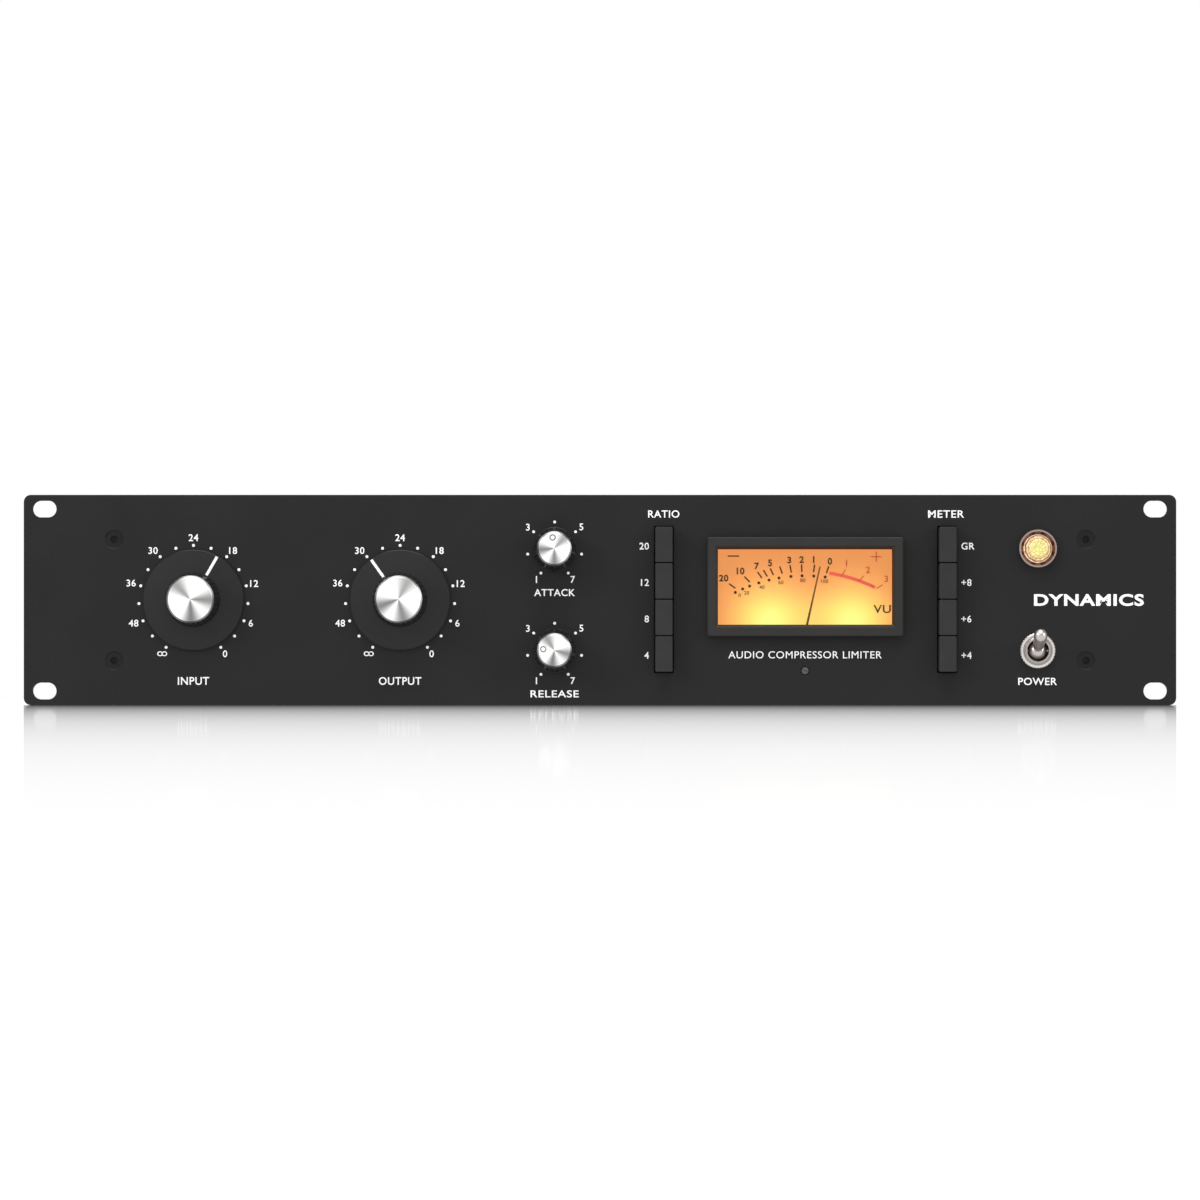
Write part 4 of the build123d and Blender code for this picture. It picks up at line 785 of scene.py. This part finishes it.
def one_piece(name, parts, material, body):
    """Join parts into one named piece that rides on a body."""
    clear_selection()
    for part in parts:
        part.select_set(True)
    bpy.context.view_layer.objects.active = parts[0]
    if len(parts) > 1:
        bpy.ops.object.join()
    piece = bpy.context.object
    piece.name = name
    piece.data.materials.clear()
    piece.data.materials.append(material)
    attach(piece, body)
    clear_selection()


print("ink is", INK_T / MM, "mm thick")

# %% [markdown]
# ### Dials
# The large dials have seventeen dots over 300 degrees, with a number at every second dot. The small
# ones have seven dots and odd numbers only. The numbers stand a little outside the ring of dots. The
# large dials start at infinity, an empty entry in the list, which is drawn from two flattened rings.

# %% Dial markings
SWEEP = 150.0
LARGE_DOTS, LARGE_RING = 17, 22.86 * MM
SMALL_DOTS, SMALL_RING = 7, 11.45 * MM
LARGE_NUMBERS = [
    ("", -13.1, -22.5), ("48", -25.1, -9.7), ("36", -26.1, 7.1), ("30", -16.9, 20.7), ("24", 0.0, 26.1),
    ("18", 16.6, 20.7), ("12", 25.4, 6.9), ("6", 24.0, -9.7), ("0", 13.2, -22.5),
]
SMALL_NUMBERS = [("1", -7.6, -12.6), ("3", -11.2, 9.3), ("5", 11.2, 9.4), ("7", 7.6, -12.6)]
INFINITY_W, INFINITY_H = 3.9 * MM, 1.9 * MM
NUMBER_H = 2.9 * MM
LARGE = (LARGE_DOTS, LARGE_RING, 0.62 * MM, LARGE_NUMBERS, 33.9 * MM, 3.3 * MM)
SMALL = (SMALL_DOTS, SMALL_RING, 0.6 * MM, SMALL_NUMBERS, 18.1 * MM, 3.0 * MM)
DIALS = [
    ("input", LARGE, 13.1 * MM), ("output", LARGE, 17.8 * MM),
    ("attack", SMALL, 17.1 * MM), ("release", SMALL, 20.2 * MM),
]


def dial(name, kind, title_w):
    """Dots, numbers and title round one control."""
    dots, ring, dot_r, numbers, title_drop, title_h = kind
    hub = middle(name + "_pot")
    hub_z = middle(name + "_shaft").z
    parts = []
    for i in range(dots):
        angle = math.radians(-SWEEP + 2 * SWEEP * i / (dots - 1))
        parts.append(dot(hub.x + ring * math.sin(angle), hub_z + ring * math.cos(angle), dot_r))
    for text, dx, dz in numbers:
        x, z = hub.x + dx * MM, hub_z + dz * MM
        parts.append(word(text, x, z, NUMBER_H) if text else infinity(x, z, INFINITY_W, INFINITY_H))
    parts.append(word(name.upper(), hub.x, hub_z - title_drop, title_h, width=title_w))
    one_piece(name + "_markings", parts, white_ink, "root")


for name, kind, title_w in DIALS:
    dial(name, kind, title_w)
print(len(DIALS), "dials printed")

# %% [markdown]
# ### Key and title words
# The ratio numbers end against their keys on the left, and the meter words start beside theirs on
# the right. The titles are generic words.

# %% Words on the panel
KEY_TITLE_Z, KEY_TITLE_H = 36.0 * MM, 3.1 * MM
RATIO_W, METER_W, METER_SHIFT = 13.1 * MM, 15.1 * MM, 0.4 * MM
BESIDE_RATIO, BESIDE_METER = 2.6 * MM, 2.4 * MM
KEY_WORD_H, KEY_WORD_DROP = 2.9 * MM, 0.5 * MM
KEY_WORDS = {
    "ratio_button_20": "20", "ratio_button_12": "12", "ratio_button_8": "8", "ratio_button_4": "4",
    "meter_button_gr": "GR", "meter_button_plus_8": "+8", "meter_button_plus_6": "+6",
    "meter_button_plus_4": "+4",
}
KIND_Z, KIND_H, KIND_W = -22.95 * MM, 3.0 * MM, 64.2 * MM
TITLE_X, TITLE_H, TITLE_W = 204.7 * MM, 5.0 * MM, 46 * MM
POWER_DROP, POWER_H, POWER_W = 12.9 * MM, 3.1 * MM, 16.2 * MM


def key_words():
    """Title over each bank and a word beside each key."""
    ratio_x, meter_x = middle("ratio_button_8").x, middle("meter_button_gr").x - METER_SHIFT
    parts = [
        word("RATIO", ratio_x, KEY_TITLE_Z, KEY_TITLE_H, width=RATIO_W),
        word("METER", meter_x, KEY_TITLE_Z, KEY_TITLE_H, width=METER_W),
    ]
    for node, text in KEY_WORDS.items():
        low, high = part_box(node)
        z = (low[2] + high[2]) / 2 - KEY_WORD_DROP
        if node.startswith("ratio"):
            parts.append(word(text, low[0] - BESIDE_RATIO, z, KEY_WORD_H, side="RIGHT"))
        else:
            parts.append(word(text, high[0] + BESIDE_METER, z, KEY_WORD_H, side="LEFT"))
    one_piece("key_words", parts, white_ink, "root")


def title_words():
    """Generic words under the meter, at the right-hand end and under the switch."""
    toggle = middle("toggle_nut")
    kind = "AUDIO COMPRESSOR LIMITER"
    parts = [
        word(kind, middle("meter_bezel").x, KIND_Z, KIND_H, width=KIND_W, weight=0.0),
        word("DYNAMICS", TITLE_X, 0.0, TITLE_H, width=TITLE_W, weight=0.03),
        word("POWER", toggle.x, toggle.z - POWER_DROP, POWER_H, width=POWER_W),
    ]
    one_piece("title_words", parts, white_ink, "root")


key_words()
title_words()
print("words printed")

# %% [markdown]
# ### Pointers
# A large knob has a white line let into its skirt, so it is laid along the skirt's slope. A small
# knob has only a thin dark ring on its cap. Each knob rests at an angle of its own.

# %% Pointers
POINTER_IN, POINTER_OUT = 11.7 * MM, 20.6 * MM
POINTER_W, POINTER_T, POINTER_ROUND = 1.15 * MM, 0.12 * MM, 0.05 * MM
KNOB_STANDS, KNOB_GAP = 19.0 * MM, 0.6 * MM
SKIRT_EDGE, SKIRT_RISE = 1.4 * MM, 1.6 * MM
RING_AT = 4.6 * MM
RING_R, RING_LINE = 1.1 * MM, 0.2 * MM
JOINT_TURN = {"input": 29.0, "output": -35.5, "attack": -9.0, "release": -84.0}
engraved = finish("engraved_black", (0.03, 0.03, 0.03), (0.05, 0.05, 0.05), (0.5, 0.6))


def about(hub_x, hub_z, degrees):
    """Turn clockwise, as seen from the front, about a hub."""
    spin = Matrix.Rotation(math.radians(degrees), 4, "Y")
    return Matrix.Translation((hub_x, 0, hub_z)) @ spin


def skirt_slope(name):
    """Y of the skirt's surface at the pointer's two ends."""
    edge_y = front_of(name + "_knob_cap") + KNOB_STANDS - KNOB_GAP - SKIRT_EDGE
    return edge_y - SKIRT_RISE, edge_y


def line_pointer(name):
    """White line from the grip's foot to the skirt's edge."""
    hub = middle(name + "_shaft")
    y_in, y_out = skirt_slope(name)
    length = math.hypot(POINTER_OUT - POINTER_IN, y_out - y_in)
    bpy.ops.mesh.primitive_cube_add(size=1)
    line = bpy.context.object
    line.scale = (POINTER_W, POINTER_T, length)
    line.rotation_euler = (math.atan2(y_in - y_out, POINTER_OUT - POINTER_IN), 0, 0)
    line.location = (0, (y_in + y_out) / 2, (POINTER_IN + POINTER_OUT) / 2)
    bpy.ops.object.transform_apply()
    bpy.ops.object.mode_set(mode="EDIT")
    bpy.ops.mesh.bevel(offset=POINTER_ROUND, segments=2)
    bpy.ops.object.mode_set(mode="OBJECT")
    line.data.transform(about(hub.x, hub.z, JOINT_TURN[name]))
    one_piece(name + "_pointer", [line], white_ink, name + "_dial")


def ring_pointer(name):
    """Thin dark ring on the cap."""
    hub = middle(name + "_knob_cap")
    bpy.ops.mesh.primitive_torus_add(
        major_radius=RING_R, minor_radius=RING_LINE, major_segments=40, minor_segments=8,
        rotation=(math.pi / 2, 0, 0),
    )
    ring = bpy.context.object
    ring.scale = (1, 1, 0.5)
    bpy.ops.object.transform_apply()
    sunk = front_of(name + "_knob_cap") - RING_LINE / 4
    ring.data.transform(about(hub.x, hub.z, JOINT_TURN[name]) @ Matrix.Translation((0, sunk, RING_AT)))
    one_piece(name + "_pointer", [ring], engraved, name + "_dial")


for name in ("input", "output"):
    line_pointer(name)
for name in ("attack", "release"):
    ring_pointer(name)
print("four pointers")

# %% [markdown]
# ### Meter scale
# The marks fan out from the needle's pivot, but they start on a flatter arc than the needle's tip
# draws, which is usual on a card this wide. Each mark's foot is where its ray from the pivot meets that
# arc. The red end is a thick band along the same arc.

# %% Meter markings
CARD = scale_y - INK_T
ARC_R = 66.6 * MM
ARC_X, ARC_Z = PIVOT_X + 0.5 * MM, PIVOT_Z - 39.3 * MM
MARK_L, MARK_W, RED_MARK_W = 3.2 * MM, 0.62 * MM, 0.45 * MM
BAND_IN, BAND_OUT, BAND_STEPS = 0.45 * MM, 1.0 * MM, 24
BAND_FROM, BAND_TO = 10.6 * MM, 29.8 * MM
MARKS = [-54.7, -44.7, -35.6, -31.3, -26.3, -19.0, -11.1, -1.9, 8.4, 19.4]
RED_MARKS = [31.7, 44.5, 56.4]
NUMERAL_H, RED_NUMERAL_H, PERCENT_H = 2.9 * MM, 2.8 * MM, 1.6 * MM
NUMERALS = [
    ("20", -33.8, 9.4), ("10", -26.7, 12.4), ("7", -19.9, 14.5), ("5", -14.3, 15.8), ("3", -6.2, 17.0),
    ("2", -1.0, 17.2), ("1", 4.1, 17.2), ("0", 10.9, 16.5),
]
RED_NUMERALS = [("1", 17.9, 15.7), ("2", 26.9, 12.9), ("3", 34.6, 9.1)]
PERCENTS = [
    ("0", -27.1, 2.2), ("20", -24.1, 3.2), ("40", -17.7, 5.6), ("60", -9.7, 7.6), ("80", -0.5, 8.5),
    ("100", 8.7, 8.1),
]
PERCENT_DOTS = [-28.9, -25.8, -22.9, -19.0, -14.7, -10.5, -5.5, -0.8, 4.1, 8.9]
PERCENT_DOT_R, PERCENT_DOT_IN = 0.65 * MM, 1.6 * MM
UNIT_X, UNIT_Z, UNIT_H, UNIT_W = 32.9 * MM, -3.6 * MM, 3.5 * MM, 7.4 * MM
MINUS_SIGN, MINUS_W = (-32.1, 18.7, -27.3, 18.7), 0.55 * MM
PLUS_SIGN, PLUS_W = ((28.2, 18.4, 32.6, 18.4), (30.4, 16.2, 30.4, 20.6)), 0.45 * MM
SHADE_IN, SHADE_W = 0.9 * MM, 0.8 * MM
# Painted shade: a dark line drawn where the bezel's edge casts its shade.
painted_shade_brown = finish("shade_brown", (0.11, 0.022, 0.004), (0.15, 0.03, 0.006), (0.5, 0.6), shine=0.1)


def foot_of_mark(degrees, radius):
    """Where the ray from the pivot meets an arc about the arc's centre."""
    dx, dz = math.sin(math.radians(degrees)), math.cos(math.radians(degrees))
    ox, oz = PIVOT_X - ARC_X, PIVOT_Z - ARC_Z
    half = ox * dx + oz * dz
    reach = -half + math.sqrt(half * half - (ox * ox + oz * oz - radius * radius))
    return PIVOT_X + reach * dx, PIVOT_Z + reach * dz, dx, dz


def marks(angles, width):
    """Printed marks at angles about the pivot."""
    parts = []
    for degrees in angles:
        x, z, dx, dz = foot_of_mark(degrees, ARC_R)
        parts.append(stroke(x, z, x + MARK_L * dx, z + MARK_L * dz, width, CARD))
    return parts


def red_band():
    """Thick arc over the red end: a flat profile spun about the arc's centre."""
    inner, outer = ARC_R - BAND_IN, ARC_R + BAND_OUT
    start = math.asin((PIVOT_X + BAND_FROM - ARC_X) / ARC_R)
    end = math.asin((PIVOT_X + BAND_TO - ARC_X) / ARC_R)
    bpy.ops.mesh.primitive_plane_add(
        size=1, rotation=(0, math.pi / 2, 0), location=(0, CARD, (inner + outer) / 2)
    )
    band = bpy.context.object
    band.scale = (outer - inner, 2 * INK_T, 1)
    bpy.ops.object.transform_apply()
    band.data.transform(about(ARC_X, ARC_Z, math.degrees(start)))
    bpy.ops.object.mode_set(mode="EDIT")
    bpy.ops.mesh.select_all(action="SELECT")
    bpy.ops.mesh.spin(steps=BAND_STEPS, angle=start - end, center=(ARC_X, CARD, ARC_Z), axis=(0, 1, 0))
    bpy.ops.mesh.select_all(action="SELECT")
    bpy.ops.mesh.normals_make_consistent(inside=False)
    bpy.ops.object.mode_set(mode="OBJECT")
    return band


def sign(line, width):
    """One stroke of a sign, from its ends beside the window's middle in millimetres."""
    x0, z0, x1, z1 = (part * MM for part in line)
    return stroke(VIEW_MIDDLE.x + x0, z0, VIEW_MIDDLE.x + x1, z1, width, CARD)


def meter_face():
    """Brown marks and numerals, faint percent figures, then the red end."""
    x0 = VIEW_MIDDLE.x
    brown = marks(MARKS, MARK_W)
    for text, dx, z in NUMERALS:
        brown.append(word(text, x0 + dx * MM, z * MM, NUMERAL_H, CARD, weight=0.035))
    for dx in PERCENT_DOTS:
        x = x0 + dx * MM
        radius = ARC_R - PERCENT_DOT_IN
        brown.append(dot(x, ARC_Z + math.sqrt(radius ** 2 - (x - ARC_X) ** 2), PERCENT_DOT_R, CARD))
    brown.append(sign(MINUS_SIGN, MINUS_W))
    one_piece("meter_marks", brown, brown_ink, "root")
    faint = [word(text, x0 + dx * MM, z * MM, PERCENT_H, CARD, weight=0.02) for text, dx, z in PERCENTS]
    faint.append(word("VU", x0 + UNIT_X, UNIT_Z, UNIT_H, CARD, weight=0.02, width=UNIT_W))
    one_piece("meter_figures", faint, faint_ink, "root")
    one_piece("meter_red_band", [red_band()], red_ink, "root")
    red = marks(RED_MARKS, RED_MARK_W)
    for text, dx, z in RED_NUMERALS:
        red.append(word(text, x0 + dx * MM, z * MM, RED_NUMERAL_H, CARD, weight=0.015))
    for line in PLUS_SIGN:
        red.append(sign(line, PLUS_W))
    one_piece("meter_red_marks", red, deep_red, "root")


def window_shade():
    """Dark brown line round the window: painted shade where the bezel's edge shades the card."""
    low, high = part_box("meter_window")
    left, right = low[0] + SHADE_IN, high[0] - SHADE_IN
    foot, top = low[2] + SHADE_IN, high[2] - SHADE_IN
    y = low[1] - INK_T
    lines = [
        stroke(left, top, right, top, SHADE_W, y),
        stroke(right, top, right, foot, SHADE_W, y),
        stroke(left, foot, right, foot, SHADE_W / 2, y),
        stroke(left, foot, left, top, SHADE_W / 2, y),
    ]
    one_piece("window_shade", lines, painted_shade_brown, "root")


meter_face()
window_shade()
print(len(MARKS) + len(RED_MARKS), "marks on the scale")

# %% [markdown]
# ### Rear words
# Plain words over each connector, so that the back reads as clearly as the front.

# %% Words on the rear panel
REAR_WORD_Z, REAR_WORD_H = 21.5 * MM, 3.0 * MM
JACK_HALF = 9 * MM
REAR_WORDS = [("INPUT", "input_xlr"), ("OUTPUT", "output_xlr"), ("MAINS", "mains_inlet")]


def rear_words():
    """A word over each connector and each jack."""
    low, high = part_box("line_jacks")
    places = [(text, middle(node).x) for text, node in REAR_WORDS]
    places += [("LINE IN", low[0] + JACK_HALF), ("LINE OUT", high[0] - JACK_HALF)]
    parts = [word(text, x, REAR_WORD_Z, REAR_WORD_H, BACK, facing=-1) for text, x in places]
    one_piece("rear_words", parts, white_ink, "root")


rear_words()
print("rear panel printed")

# %% Print the solids' box and finish
print("solids", [round(v, 4) for c in CAD_BOX for v in c])
